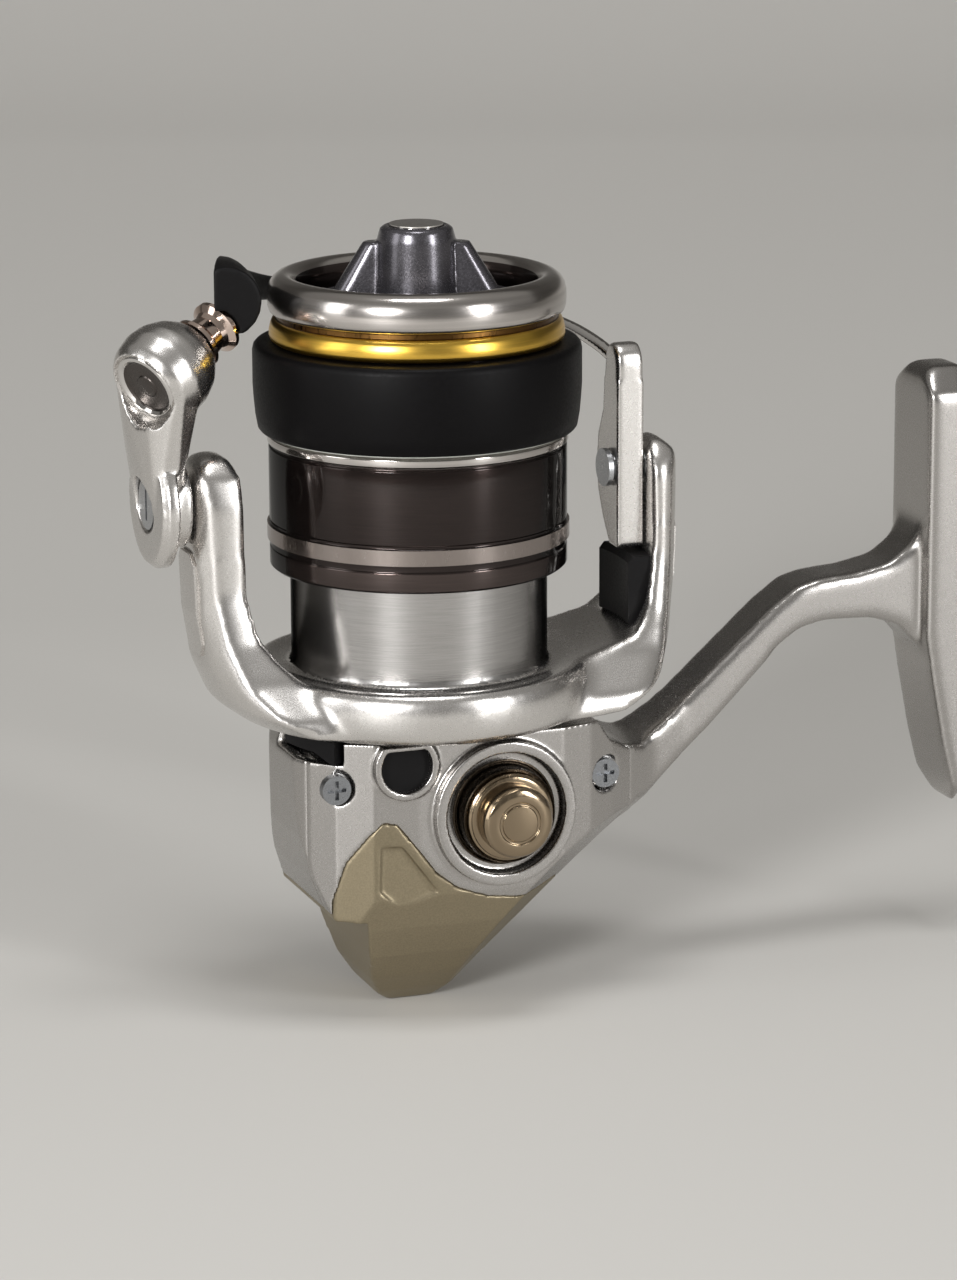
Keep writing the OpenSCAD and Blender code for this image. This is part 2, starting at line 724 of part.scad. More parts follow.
module drive_shaft() {
  color(steel) difference() {
    rod_y(drive_x, drive_z, drive_r, left_bearing_y + 0.2, body_half_w + 1.6);
    rod_y(drive_x, drive_z, 2.2, 0, 40);
  }
}
module drive_gear() {
  y1 = gear_y - 1;
  color(brass) difference() {
    union() {
      rod_y(drive_x, drive_z, gear_r, y1 - gear_t + 1, y1);
      rod_y(drive_x, drive_z, drive_r + 1.4, y1 - gear_t - 1, y1);
      translate([drive_x, y1, drive_z]) rotate([-90, 0, 0]) for (i = [0 : gear_teeth - 1])
        rotate([0, 0, 360 * i / gear_teeth]) translate([gear_r - 2.6, -0.4, -0.2])
          cube([2.6, 0.8, 1.2]);
    }
    rod_y(drive_x, drive_z, drive_r, -30, 10);
  }
}
module swing_pinion() {
  color(steel) difference() {
    translate([drive_x, swing_y, drive_z]) rotate([-90, 0, 0]) {
      spur(swing_pinion_teeth, swing_pinion_r, 0.8, swing_t);
    }
    rod_y(drive_x, drive_z, drive_r, -30, 30);
  }
}
module swing_gear() {
  color(steel) {
    difference() {
      translate([swing_x, swing_y, swing_z]) rotate([-90, 0, 0]) {
        spur(swing_teeth, swing_r, 0.9, swing_t);
      }
      rod_y(swing_x, swing_z, 2 + run, -30, 30);
    }
    rod_y(swing_x, swing_z + crank_r, 1.5, swing_y - 0.8, swing_y + 0.2);
  }
}
// Bracket from the drive bearing's boss to the post that the swing gear turns on
module swing_post() {
  y0 = swing_y + swing_t + gap;
  u = unit2([drive_x - swing_x, drive_z - swing_z]);
  n = [-u[1], u[0]];
  c = [swing_x, swing_z];
  d = [drive_x, drive_z];
  rod_y(swing_x, swing_z, 2, swing_y + 0.3, y0 + 1);
  rod_y(swing_x, swing_z, post_r, y0, right_bearing_y + 0.6);
  drive_bore(bearing_boss_r, y0 + 0.8, right_bearing_y + 1);
  slab(y0 + 0.8, right_bearing_y + 0.6) polygon([
    c + post_r * n, c - post_r * n, d - (bearing_boss_r - 1) * n, d + (bearing_boss_r - 1) * n
  ]);
}
// Tab of the housing inside the rear cover, which the rear cover's screw goes into
module cover_tab() {
  x = rear_spot[0];
  intersection() {
    body_block(0.5);
    union() {
      translate([x - 2.6, tab_y - 2.9, rear_spot[1] - 2.4]) cube([5.2, 2.6, 24]);
      translate([x - 2.6, tab_y - 2.9, 33.4]) cube([5.2, 10, 5]);
    }
  }
}
module handle_shank() {
  y0 = body_half_w + 1.6;
  color(satin) {
    translate([drive_x, y0, drive_z]) rotate([-90, 0, 0]) rotate_extrude() polygon([
      [0, 0], [6.6, 0], [6.6, 4], [5.6, 6], [4.6, 9], [4.2, 20], [4.6, handle_y - y0 - 3],
      [5.4, handle_y - y0], [0, handle_y - y0]
    ]);
    rod_y(drive_x, drive_z, 2.2, 0.5, y0);
  }
}
module handle_arm() {
  color(satin) difference() {
    hull() {
      rod_y(drive_x, drive_z, 6.8, handle_y, handle_y + handle_t);
      rod_y(grip_x, grip_z, 5, handle_y, handle_y + handle_t);
    }
    rod_y(grip_x, grip_z, knob_shaft_r, handle_y - 1, handle_y + handle_t + 1);
  }
}
module knob_shaft() {
  color(steel) {
    rod_y(grip_x, grip_z, knob_shaft_r, handle_y, knob_start + handle_knob_l - 3);
    rod_y(grip_x, grip_z, 3.2, handle_y + handle_t, knob_start - 0.3);
  }
}
module handle_knob() {
  l = handle_knob_l;
  r = handle_knob_r;
  color(smoke) translate([grip_x, knob_start, grip_z]) rotate([-90, 0, 0]) difference() {
    rotate_extrude() polygon([
      [0, 0], [4, 0], [5, 1], [5.6, 4], [6.6, 8], [r - 0.8, 13], [r, 18], [r - 0.5, 22],
      [r - 2.4, 26], [r - 4, l - 0.6], [r - 4.6, l], [0, l]
    ]);
    translate([0, 0, -1]) cylinder(r = knob_shaft_r + run, h = l - 1.6);
    translate([0, 0, l - 2.6]) cylinder(r = 3.6, h = 5);
  }
}
module knob_cap() {
  color(satin) rod_y(grip_x, grip_z, 3.6, knob_start + handle_knob_l - 2.2,
    knob_start + handle_knob_l + 0.5);
}
module pinion_gear() {
  color(brass) difference() {
    union() {
      translate([0, 0, pinion_z]) spur(pinion_teeth, pinion_r, 0.9, pinion_tooth_h);
      translate([0, 0, pinion_z]) cylinder(r = pinion_shank_r, h = hub_plate_z + 9 - pinion_z);
    }
    translate([0, 0, pinion_z - 1]) cylinder(r = shaft_r + run, h = 60);
  }
}

// ---- Rotor ----

module arm_sweep(r_in, r_out, top, side) {
  intersection() {
    rotate_extrude($fn = 96) polygon([
      [22, rotor_base], [r_out - 9, rotor_base + 1], [r_out - 4.4, rotor_base + 4.4],
      [r_out - 1.8, rotor_base + 10.4], [r_out - 0.4, rotor_base + 19], [r_out, pivot_z - 3],
      [r_out, pivot_z + 3], [r_out - 1.2, pivot_z + top - 1.6], [r_out - 3, pivot_z + top],
      [r_in + 0.9, pivot_z + top - 0.8], [r_in, pivot_z + top - 3], [r_in, rotor_base + 21],
      [r_in - 0.8, rotor_base + 15.6], [r_in - 3, rotor_base + 11.4], [rim_r - 1.4, rim_top],
      [22, rim_top - 1.4]
    ]);
    linear_extrude(120) polygon([for (p = both_sides([
      [r_out + 1, 3], [r_out - 2.2, 6.6], [r_out - 6, 13], [r_out - 12, 21], [0, 26]
    ])) [side * p[0], p[1]]]);
    translate([side > 0 ? 0 : -50, 0, 0]) rotate([90, 0, 90]) linear_extrude(50) polygon(
      both_sides_mirror([
        [20, rotor_base - 2], [18, rotor_base + 4], [12.6, rotor_base + 9],
        [9.2, rotor_base + 15], [arm_half_w + 0.6, rotor_base + 22], [arm_half_w, pivot_z],
        [arm_half_w * 0.86, pivot_z + top - 3.6], [arm_half_w * 0.5, pivot_z + top - 0.9],
        [0, pivot_z + top]
      ]));
  }
}
function both_sides(half) = concat(
  [for (i = [len(half) - 1 : -1 : 0]) [half[i][0], -half[i][1]]], half
);
function both_sides_mirror(half) = concat(half, [
  for (i = [len(half) - 2 : -1 : 0]) [-half[i][0], half[i][1]]
]);
module rotor() {
  color(satin) difference() {
    union() {
      rotate_extrude($fn = 96) polygon([
        [pinion_shank_r, hub_plate_z], [11.2, hub_plate_z], [16, hub_plate_z - 1.6],
        [22, rotor_base], [rim_r - 2.4, rotor_base], [rim_r - 0.4, rotor_base + 1.6],
        [rim_r, rotor_base + 4.6], [rim_r - 0.4, rim_top - 1.2], [rim_r - 1.7, rim_top],
        [rim_r - 3.1, rim_top - 0.6], [drum_r + 1.2, rim_top - 1.2], [drum_r, rim_top - 0.6],
        [drum_r, drum_top - 0.6], [drum_r - 0.6, drum_top], [drum_r - drum_wall, drum_top],
        [drum_r - drum_wall, hub_plate_z + hub_plate_t], [pinion_shank_r, hub_plate_z + hub_plate_t]
      ]);
      arm_sweep(left_in, arm_r, 7.6, -1);
      arm_sweep(right_in, lever_arm_r, 5.4, 1);
    }
    rod_x(0, pivot_z, pivot_r, -50, 0);
    rod_x(0, pivot_z, pivot_r, 28, lever_arm_r - 1.4);
    translate([lever_x - 6, -arm_half_w - 4, cavity_z + 9])
      cube([right_in - lever_x + 6, 2 * arm_half_w + 8, 40]);
    inner_cover_block();
    translate([lever_arm_r - 4.6, -3.2, cavity_z]) cube([3.4, 6.4, cavity_h - 3]);
    cover_plate(-1, arm_r);
    cover_plate(1, lever_arm_r);
  }
}
// Shallow seat for the cover plate on the outside of an arm
module cover_plate(side, r) {
  intersection() {
    rotate_extrude($fn = 96) polygon([
      [r - 2.8, rotor_base + 10.4], [r - 1.7, rotor_base + 10.4], [r - 0.3, rotor_base + 19],
      [r + 0.1, cavity_z + cavity_h], [r - 1.3, cavity_z + cavity_h], [r - 1.7, rotor_base + 19]
    ]);
    translate([side > 0 ? 0 : -50, 0, 0]) rotate([90, 0, 90]) linear_extrude(50) polygon(
      both_sides_mirror([
        [2.4, cavity_z - 2], [3.9, cavity_z], [3.9, cavity_z + cavity_h - 3],
        [2.4, cavity_z + cavity_h - 1.4], [0, cavity_z + cavity_h - 1.4]
      ]));
  }
}
// Black cover over the works on the inside of the lever's arm
module inner_cover_block() {
  intersection() {
    rotate_extrude($fn = 96) polygon([
      [right_in - 3.4, cavity_z - 2], [right_in - 1, cavity_z - 3.4], [right_in + 0.6, cavity_z - 3.4],
      [right_in + 0.6, cavity_z + 8.6], [right_in - 2.6, cavity_z + 8.6], [right_in - 3.4, cavity_z + 7.6]
    ]);
    translate([0, -arm_half_w + 0.6, 0]) cube([50, 2 * arm_half_w - 1.2, 100]);
  }
}
module arm_inner_cover() {
  color(black) inner_cover_block();
}
module arm_cover_left() {
  color(satin) cover_plate(-1, arm_r);
}
module arm_cover_right() {
  color(satin) cover_plate(1, lever_arm_r);
}
module rotor_nut() {
  color(brass) translate([0, 0, hub_plate_z + hub_plate_t]) difference() {
    cylinder(r = 6, h = 3.6, $fn = 6);
    translate([0, 0, -1]) cylinder(r = pinion_shank_r, h = 6);
  }
}
module rotor_nut_lock() {
  color(steel) ring(8.4, pinion_shank_r, hub_plate_z + hub_plate_t + 3.6, 0.8);
}
module bail_spring() {
  color(steel) translate([lever_arm_r - 3.45, 0, cavity_z + 0.2])
    linear_extrude(height = cavity_h - 3.4, twist = -360 * 7, slices = 84, $fn = 8)
      translate([0.7, 0]) circle(r = 0.35, $fn = 8);
}
module bail_pivot_screws() {
  x0 = -arm_r - gap - bail_arm_t;
  color(steel) {
    rod_x(0, pivot_z, pivot_r, x0 + 1.4, -left_in);
    difference() {
      rod_x(0, pivot_z, 4, x0 + 0.1, x0 + 1.4);
      translate([-60, -0.4, pivot_z - 2.6]) cube([60 + x0 + 0.8, 0.8, 5.2]);
    }
    rod_x(0, pivot_z, pivot_r, lever_x - gap, lever_arm_r - 1.4);
    rod_x(0, pivot_z, 3, lever_x - gap - 0.8, lever_x - gap);
  }
}

// ---- Bail ----

module bail_arm() {
  x1 = -arm_r - gap;
  x0 = x1 - bail_arm_t;
  color(satin) difference() {
    union() {
      rod_x(0, pivot_z, boss_r, x0, x1);
      rod_x(0, pivot_z, bail_foot_r - 0.7, x0, x0 + 0.8);
      rod_x(0, pivot_z, bail_foot_r, x0 + 0.8, x0 + 2.8);
      on_roller(0.6) rotate_extrude() polygon([
        [0, 0], [head_r - 1.6, 0], [head_r - 0.6, 1.6], [head_r, 4.2], [head_r - 0.2, 6.6],
        [head_r - 1.1, 9], [head_r - 2.4, head_l - 1.4], [head_r - 2.9, head_l - 1],
        [0, head_l - 1]
      ]);
      hull() {
        rod_x(0.4, pivot_z + 0.6, boss_r - 0.6, x0 + 0.2, x0 + 3);
        rod_x(0.4, pivot_z + 11, boss_r + 0.6, x0 - 1, x0 + 2.4);
        on_roller(2) cylinder(r = head_r - 0.6, h = 3.6, $fn = 32);
      }
    }
    rod_x(0, pivot_z, pivot_r + run, -60, x1 + 5);
    on_roller(3) cylinder(r = pin_r, h = 30);
    on_roller(-2) cylinder(r = head_r - 1.8, h = 3.6);
    rod_x(0, pivot_z, 4 + gap, x0 - 10, x0 + 1.4);
  }
}
module bail_arm_cap() {
  color(steel) on_roller(0.4) rotate_extrude() polygon([
    [0, 0], [head_r - 2.8, 0.2], [head_r - 1.8, 0.9], [head_r - 1.8, 1.2], [0, 1.2]
  ]);
}
module line_roller() {
  w = roller_w;
  color(brass) on_roller(roller_s) difference() {
    rotate_extrude() polygon([
      [0, 0], [roller_r, 0], [roller_r, 0.7], [roller_r - 0.9, 1.6], [roller_r - 1.2, w * 0.6],
      [roller_r - 0.9, w - 1.4], [roller_r, w - 0.7], [roller_r, w], [0, w]
    ]);
    translate([0, 0, -1]) cylinder(r = pin_r + bush_t + run, h = w + 2);
  }
}
module roller_bush() {
  color(black) on_roller(head_l) difference() {
    cylinder(r = pin_r + bush_t, h = cone_s - head_l);
    translate([0, 0, -1]) cylinder(r = pin_r, h = 20);
  }
}
module roller_pin() {
  color(steel) on_roller(3) cylinder(r = pin_r, h = cone_s - 3 + 1.6);
}
module roller_cone() {
  color(black) difference() {
    union() {
      tube(spline(lift(cone_path), 4), 20);
      on_roller(cone_s) cylinder(r = pin_r + 1.4, h = 4);
    }
    on_roller(0) cylinder(r = roller_r + gap, h = cone_s, $fn = 32);
    on_roller(cone_s - 1) cylinder(r = pin_r, h = 2.6);
    rotate([0, 0, -20]) translate([-guard_cut - 50, -50, 0]) cube([50, 100, 200]);
  }
}
module bail_wire() {
  color(satin) tube(spline(lift(wire_path), 4), 12);
}
module bail_lever() {
  near = -lever_w / 2 - 0.4;
  tip = 20;
  color(satin) difference() {
    translate([lever_x, 0, pivot_z]) rotate([90, 0, 90]) linear_extrude(lever_t) polygon(concat(
      [[near, -12], [near + 0.6, -12.6], [near + 4, -12.4], [near + 6.6, -9], [5.4, -4.6], [6, 0],
       [5.4, 4.6], [near + lever_w + 0.6, 9]],
      [for (a = [0 : 30 : 180]) [near + lever_w / 2 * (1 + cos(a)), tip - lever_w / 2 * (1 - sin(a))]]
    ));
    rod_x(0, pivot_z, pivot_r + run, 20, 50);
  }
}

// ---- Main shaft and spool drive ----

module main_shaft() {
  color(steel) translate([0, 0, slider_z]) cylinder(r = shaft_r, h = shaft_top - slider_z);
}
module slider() {
  color(brass) difference() {
    translate([guide_x - 2.4, -3, slider_z]) cube([3.4 - guide_x + 2.4, 6, slider_h]);
    translate([0, 0, slider_z - 1]) cylinder(r = shaft_r, h = slider_h + 2);
    translate([guide_x, 0, slider_z - 1]) cylinder(r = guide_r + run, h = slider_h + 2);
    translate([-30, 2.2, swing_z + crank_r - 1.9]) cube([60, 2, 3.8]);
    rod_y(0, slider_z + 1.8, 1, -4, -shaft_r);
  }
}
module slider_screw() {
  color(steel) {
    rod_y(0, slider_z + 1.8, 1, -3, -shaft_r);
    rod_y(0, slider_z + 1.8, 1.6, -3.7, -3);
  }
}
module spool_support() {
  color(brass) ring(6, shaft_r, hub_z - click_h - 0.3 - 3, 3);
}

// ---- Spool ----

module spool() {
  bore = shaft_r + run;
  inner = arbor_r - 1.5;
  color(smoke) {
    rotate_extrude($fn = 96) polygon([
      [skirt_r - skirt_wall, skirt_z], [skirt_r - 0.4, skirt_z], [skirt_r, skirt_z + 0.5],
      [skirt_r, skirt_top], [flange_r, skirt_top + 0.2], [flange_r, line_z - 0.2],
      [flange_r - 0.4, line_z], [arbor_r, line_z], [arbor_r, line_top], [gold_r - 0.7, line_top],
      [gold_r - 0.7, gold_z], [gold_in_r, gold_z], [gold_in_r, recess_floor],
      [inner, recess_floor], [inner, seat_z + seat_t], [bore, seat_z + seat_t], [bore, hub_z],
      [hub_r, hub_z], [hub_r, seat_z], [inner, seat_z], [inner, skirt_top],
      [skirt_r - skirt_wall, skirt_top]
    ]);
  }
}
module spool_lip() {
  color(satin) rotate_extrude($fn = 96) polygon([
    [recess_r, lip_z], [lip_r - 1, lip_z], [lip_r - 0.2, lip_z + 0.7], [lip_r, lip_z + 1.8],
    [lip_r - 0.1, lip_top - 2.2], [lip_r - 0.8, lip_top - 0.8], [lip_r - 2.2, lip_top],
    [recess_r + 1.2, lip_top - 0.2], [recess_r, lip_top - 1.4]
  ]);
}
module gold_ring() {
  color(gold) rotate_extrude($fn = 96) polygon([
    [gold_in_r, gold_z], [gold_r - 0.3, gold_z], [gold_r, gold_z + 0.4],
    [gold_r, lip_z - 0.4], [gold_r - 0.3, lip_z], [gold_in_r, lip_z]
  ]);
}
module skirt_ring() {
  color(satin) ring(skirt_r + 0.35, skirt_r, skirt_ring_z, skirt_ring_h);
}
module line_winding() {
  color("white") ring(line_r, arbor_r, line_z, line_h);
}
module spool_band() {
  color(black) rotate_extrude($fn = 96) polygon([
    [line_r, band_z], [band_r - 1, band_z], [band_r - 0.3, band_z + 3], [band_r, band_z + 7],
    [band_r, band_top - 0.5], [band_r - 0.5, band_top], [line_r, band_top]
  ]);
}
module line_clip() {
  color(black) rotate([0, 0, 55]) difference() {
    translate([skirt_r - 1, -3, skirt_ring_z + 6]) cube([2.1, 6, 2.6]);
    cylinder(r = skirt_r, h = 200, $fn = 96);
  }
}
module click_gear() {
  color(steel) difference() {
    translate([0, 0, hub_z - click_h]) spur(24, 8, 0.8, click_h);
    cylinder(r = shaft_r + run, h = 200);
  }
}
module drag_washers() {
  color(steel) for (i = [0 : washer_count - 1])
    ring(arbor_r - 2, i % 2 == 0 ? 3.2 : shaft_r + gap, washer_z + i * washer_pitch, washer_t);
}
module drag_retainer() {
  color(steel) ring(arbor_r - 1.5, 9.4, retainer_z, 0.7);
}
module drag_knob() {
  low = retainer_z + 0.2;
  base_t = 1.3;
  wing_h = knob_top - knob_base - 3;
  color(steel) difference() {
    union() {
      rotate_extrude() polygon([
        [0, low], [8.6, low], [8.6, knob_base], [knob_r - 0.6, knob_base],
        [knob_r, knob_base + 0.6], [knob_r, knob_base + 2], [knob_r - 0.6, knob_base + 2.4],
        [knob_r - 1.3, knob_base + 2], [knob_r - 2.2, knob_base + base_t],
        [grip_r + 2.4, knob_base + base_t], [grip_r + 1, knob_base + base_t + 0.8],
        [grip_r + 0.7, knob_base + 6], [grip_r + 0.4, knob_top - 2], [grip_r, knob_top - 0.5],
        [grip_r - 0.8, knob_top], [0, knob_top]
      ]);
      rotate([0, 0, -20]) hull() for (side = [-1, 1]) {
        translate([side * (knob_r - 5.3), 0, knob_base + 0.4]) cylinder(r = 2.7, h = 2, $fn = 32);
        translate([side * 6.3, 0, knob_base + 0.4]) cylinder(r1 = 2.5, r2 = 1.9, h = wing_h, $fn = 32);
      }
    }
    cylinder(r = shaft_r + run, h = shaft_top + 0.4);
    translate([0, 0, knob_top - 1.2]) cylinder(r = insert_r, h = 5);
  }
}
module drag_knob_insert() {
  color(satin) translate([0, 0, knob_top - 1.2]) cylinder(r = insert_r, h = 1.4);
}

body_housing();
side_cover();
rear_cover();
body_screws();
rear_cover_screw();
window_plug();
port_ring();
port_cap();
drive_bearing_left();
drive_bearing_right();
drive_shaft();
drive_gear();
swing_pinion();
swing_gear();
handle_shank();
handle_arm();
knob_shaft();
handle_knob();
knob_cap();
pinion_gear();
pinion_bearing();
pinion_bush();
roller_clutch();
clutch_cover();
anti_reverse_lever();
rotor();
rotor_nut();
rotor_nut_lock();
arm_cover_left();
arm_cover_right();
arm_inner_cover();
bail_arm();
bail_arm_cap();
line_roller();
roller_bush();
roller_pin();
roller_cone();
bail_wire();
bail_lever();
bail_pivot_screws();
bail_spring();
main_shaft();
slider();
slider_screw();
guide_rod();
spool();
spool_lip();
gold_ring();
skirt_ring();
line_winding();
spool_band();
line_clip();
click_gear();
spool_support();
drag_washers();
drag_retainer();
drag_knob();
drag_knob_insert();
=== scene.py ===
"""Spinning reel: the looks of a die-cast, skirted-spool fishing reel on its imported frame."""

import json
import math

import bmesh
import bpy
from mathutils import Matrix, Vector


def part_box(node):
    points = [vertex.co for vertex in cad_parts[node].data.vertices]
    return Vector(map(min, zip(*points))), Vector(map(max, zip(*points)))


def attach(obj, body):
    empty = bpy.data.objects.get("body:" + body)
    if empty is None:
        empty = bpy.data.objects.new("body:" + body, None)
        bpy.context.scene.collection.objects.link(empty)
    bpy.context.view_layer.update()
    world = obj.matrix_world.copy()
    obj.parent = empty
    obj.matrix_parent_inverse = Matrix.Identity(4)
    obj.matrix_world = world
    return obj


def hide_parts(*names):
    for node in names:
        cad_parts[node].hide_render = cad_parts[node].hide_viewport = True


bl_info = {
    "name": "Spinning reel looks",
    "version": (1, 0, 0),
    "blender": (4, 5, 0),
    "location": "View3D > Sidebar > Reel",
    "description": "Dresses the packed spinning reel with its castings, spool, finishes and studio",
    "category": "Object",
}

MM = 0.001
# Radius in mm that stands for a point on a turned piece's axis
POLE = 1e-4
# How far one pass of smoothing moves a point towards its neighbours
FLOW_FACTOR = 0.5
# Where the castings are softer, in mm: the stem and foot, the end of the tail, the tip of the
# bail lever, and the rotor's rim and arms
STEM_X = 33
TAIL_Z = 8
LEVER_TIP_Z = 96
RIM_R = 21.5
ARM_X = 24
ARM_Z = 56
# Where a piece changes its finish, in mm: the rotor's drum, the skirt's bright bead and lower
# flange and the face of the bail arm's cap; and where painted shade begins: the lip's inner wall,
# the groove above the gold ring and the foot of the port's ring
DRUM_R = 20.3
DRUM_Z = 53.6
BEAD_Z = (88.75, 90.7)
FLANGE_Z = 72.7
LIP_INNER_R = 18.45
GROOVE_Z = 108.1
PORT_FOOT_R = 7.1
CAP_FACE_R = 4.3

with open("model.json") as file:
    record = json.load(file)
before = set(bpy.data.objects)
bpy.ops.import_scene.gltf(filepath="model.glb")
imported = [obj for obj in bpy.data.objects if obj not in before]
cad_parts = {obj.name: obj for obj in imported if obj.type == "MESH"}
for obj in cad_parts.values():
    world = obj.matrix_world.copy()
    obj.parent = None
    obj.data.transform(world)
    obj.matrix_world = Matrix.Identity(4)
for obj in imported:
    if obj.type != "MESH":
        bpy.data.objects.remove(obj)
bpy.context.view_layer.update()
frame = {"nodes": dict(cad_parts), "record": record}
NODES = frame["nodes"]


# ---- Small helpers ----------------------------------------------------------


def linear(code):
    """A colour written as sRGB hex, as Blender's linear RGBA."""
    parts = [int(code[i : i + 2], 16) / 255 for i in (0, 2, 4)]
    return (*[p / 12.92 if p <= 0.04045 else ((p + 0.055) / 1.055) ** 2.4 for p in parts], 1)


def shaded(color, fraction):
    """The same colour with a fraction of its light."""
    return (*[fraction * channel for channel in color[:3]], 1)


def add_node(tree, kind, settings=None, inputs=None):
    """Adds one shader node, sets its own settings and sets or links its inputs."""
    node = tree.nodes.new(kind)
    for key, value in (settings or {}).items():
        setattr(node, key, value)
    for key, value in (inputs or {}).items():
        if isinstance(value, bpy.types.NodeSocket):
            tree.links.new(value, node.inputs[key])
        else:
            node.inputs[key].default_value = value
    return node


def deselect():
    if bpy.context.object and bpy.context.object.mode != "OBJECT":
        bpy.ops.object.mode_set(mode="OBJECT")
    bpy.ops.object.select_all(action="DESELECT")


def activate(obj):
    deselect()
    obj.select_set(True)
    bpy.context.view_layer.objects.active = obj


def apply_modifiers(obj):
    activate(obj)
    for modifier in list(obj.modifiers):
        bpy.ops.object.modifier_apply(modifier=modifier.name)


def outward(obj):
    """Merges doubled points and turns every face outwards."""
    activate(obj)
    bpy.ops.object.mode_set(mode="EDIT")
    bpy.ops.mesh.select_all(action="SELECT")
    bpy.ops.mesh.remove_doubles(threshold=1e-6)
    bpy.ops.mesh.normals_make_consistent(inside=False)
    bpy.ops.object.mode_set(mode="OBJECT")


def settle_place(obj):
    """Puts the object's place, turn and size into its mesh."""
    activate(obj)
    bpy.ops.object.transform_apply(location=True, rotation=True, scale=True)


def smooth(obj, angle=35):
    activate(obj)
    bpy.ops.object.shade_smooth_by_angle(angle=math.radians(angle))


def finish_piece(obj, material, body, slot, *nodes):
    """Gives a new piece its finish and its body, and hides the nodes it stands for. slot is not
    used.
    """
    obj.data.materials.clear()
    obj.data.materials.append(material)
    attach(obj, body)
    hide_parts(*nodes)


def axle(node, y=0):
    """A point in mm on the axis of a CAD node that turns about Y."""
    low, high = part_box(node)
    return (low.x + high.x) / 2 / MM, y, (low.z + high.z) / 2 / MM


def turned(name, profile, at=(0, 0, 0), axis=(0, 0, 1), sides=160):
    """A turned piece: a circle extruded and scaled up the profile, (radius, height) in mm.

    A radius of 0 is drawn as POLE, and its points are merged at the end.
    """
    deselect()
    radius, height = max(profile[0][0], POLE), profile[0][1]
    bpy.ops.mesh.primitive_circle_add(
        vertices=sides, radius=radius * MM, location=(0, 0, height * MM)
    )
    obj = bpy.context.object
    obj.name = name
    settle_place(obj)
    bpy.ops.object.mode_set(mode="EDIT")
    bpy.ops.mesh.select_mode(type="EDGE")
    bpy.ops.mesh.select_all(action="SELECT")
    for next_radius, next_height in profile[1:]:
        next_radius = max(next_radius, POLE)
        bpy.ops.mesh.extrude_region_move(
            TRANSFORM_OT_translate={"value": (0, 0, (next_height - height) * MM)}
        )
        scale = next_radius / radius
        bpy.ops.transform.resize(value=(scale, scale, 1), center_override=(0, 0, next_height * MM))
        radius, height = next_radius, next_height
    bpy.ops.object.mode_set(mode="OBJECT")
    outward(obj)
    obj.matrix_world = Matrix.Translation(Vector(at) * MM) @ turn_to(axis)
    settle_place(obj)
    return obj


def turn_to(axis):
    """The turn that takes +Z to the axis."""
    return Vector((0, 0, 1)).rotation_difference(Vector(axis)).to_matrix().to_4x4()


def soften_edges(obj, width, angle=28):
    """Rounds the edges of a turned piece that are sharper than the angle, over width mm."""
    bevel = obj.modifiers.new("edge", "BEVEL")
    bevel.width = width * bpy.context.scene.reel_sizes.edge_width * MM
    bevel.segments = 3
    bevel.limit_method = "ANGLE"
    bevel.angle_limit = math.radians(angle)
    bevel.harden_normals = False
    apply_modifiers(obj)


def flow(obj, passes):
    """Smooths a mesh as cast metal flows; gives back the modifier."""
    modifier = obj.modifiers.new("flow", "SMOOTH")
    modifier.factor = FLOW_FACTOR
    modifier.iterations = passes
    return modifier


def casting(node, name, voxel, passes, soft=None, soft_passes=0):
    """A die-cast copy of a CAD node: merged, remeshed at voxel mm and smoothed.

    soft is a test of a point in mm: where it is true, the metal flows soft_passes further.
    """
    obj = bpy.data.objects.new(name, NODES[node].data.copy())
    obj.matrix_world = NODES[node].matrix_world
    bpy.context.collection.objects.link(obj)
    settle_place(obj)
    outward(obj)
    remesh = obj.modifiers.new("even", "REMESH")
    remesh.mode = "VOXEL"
    remesh.voxel_size = voxel * bpy.context.scene.reel_sizes.casting_spacing * MM
    remesh.adaptivity = 0
    flow(obj, passes)
    apply_modifiers(obj)
    if soft:
        inside = [v.index for v in obj.data.vertices if soft(v.co / MM)]
        group = obj.vertex_groups.new(name="soft_places")
        group.add(inside, 1.0, "REPLACE")
        flow(obj, soft_passes).vertex_group = group.name
        apply_modifiers(obj)
        obj.vertex_groups.clear()
    smooth(obj, 180)
    return obj


# ---- Finishes ---------------------------------------------------------------


def new_finish(name):
    """An empty node material; gives back the material, its tree and the place on the piece."""
    material = bpy.data.materials.new(name)
    material.use_nodes = True
    material.node_tree.nodes.clear()
    tree = material.node_tree
    place = add_node(tree, "ShaderNodeTexCoord").outputs["Object"]
    return material, tree, place


def close_finish(material, tree, inputs):
    """Ends a finish in one Principled shader with these inputs; gives back the material."""
    shader = add_node(tree, "ShaderNodeBsdfPrincipled", inputs=inputs)
    add_node(tree, "ShaderNodeOutputMaterial", inputs={"Surface": shader.outputs["BSDF"]})
    return material


def grain(tree, place, size, detail=2.0, stretch=(1, 1, 1)):
    """Noise whose grains are about size mm across, stretched along the axes as told."""
    at = add_node(tree, "ShaderNodeMapping", inputs={"Vector": place, "Scale": stretch})
    return add_node(
        tree,
        "ShaderNodeTexNoise",
        inputs={"Vector": at.outputs["Vector"], "Scale": 1 / (size * MM), "Detail": detail},
    ).outputs["Fac"]


def spread(tree, value, low, high):
    """Stretches a pattern between two values."""
    return add_node(
        tree,
        "ShaderNodeMapRange",
        inputs={"Value": value, "From Min": 0.3, "From Max": 0.7, "To Min": low, "To Max": high},
    ).outputs["Result"]


def relief(tree, height, depth):
    """A bump depth mm deep."""
    return add_node(
        tree,
        "ShaderNodeBump",
        inputs={"Height": height, "Distance": depth * MM, "Strength": 1},
    ).outputs["Normal"]


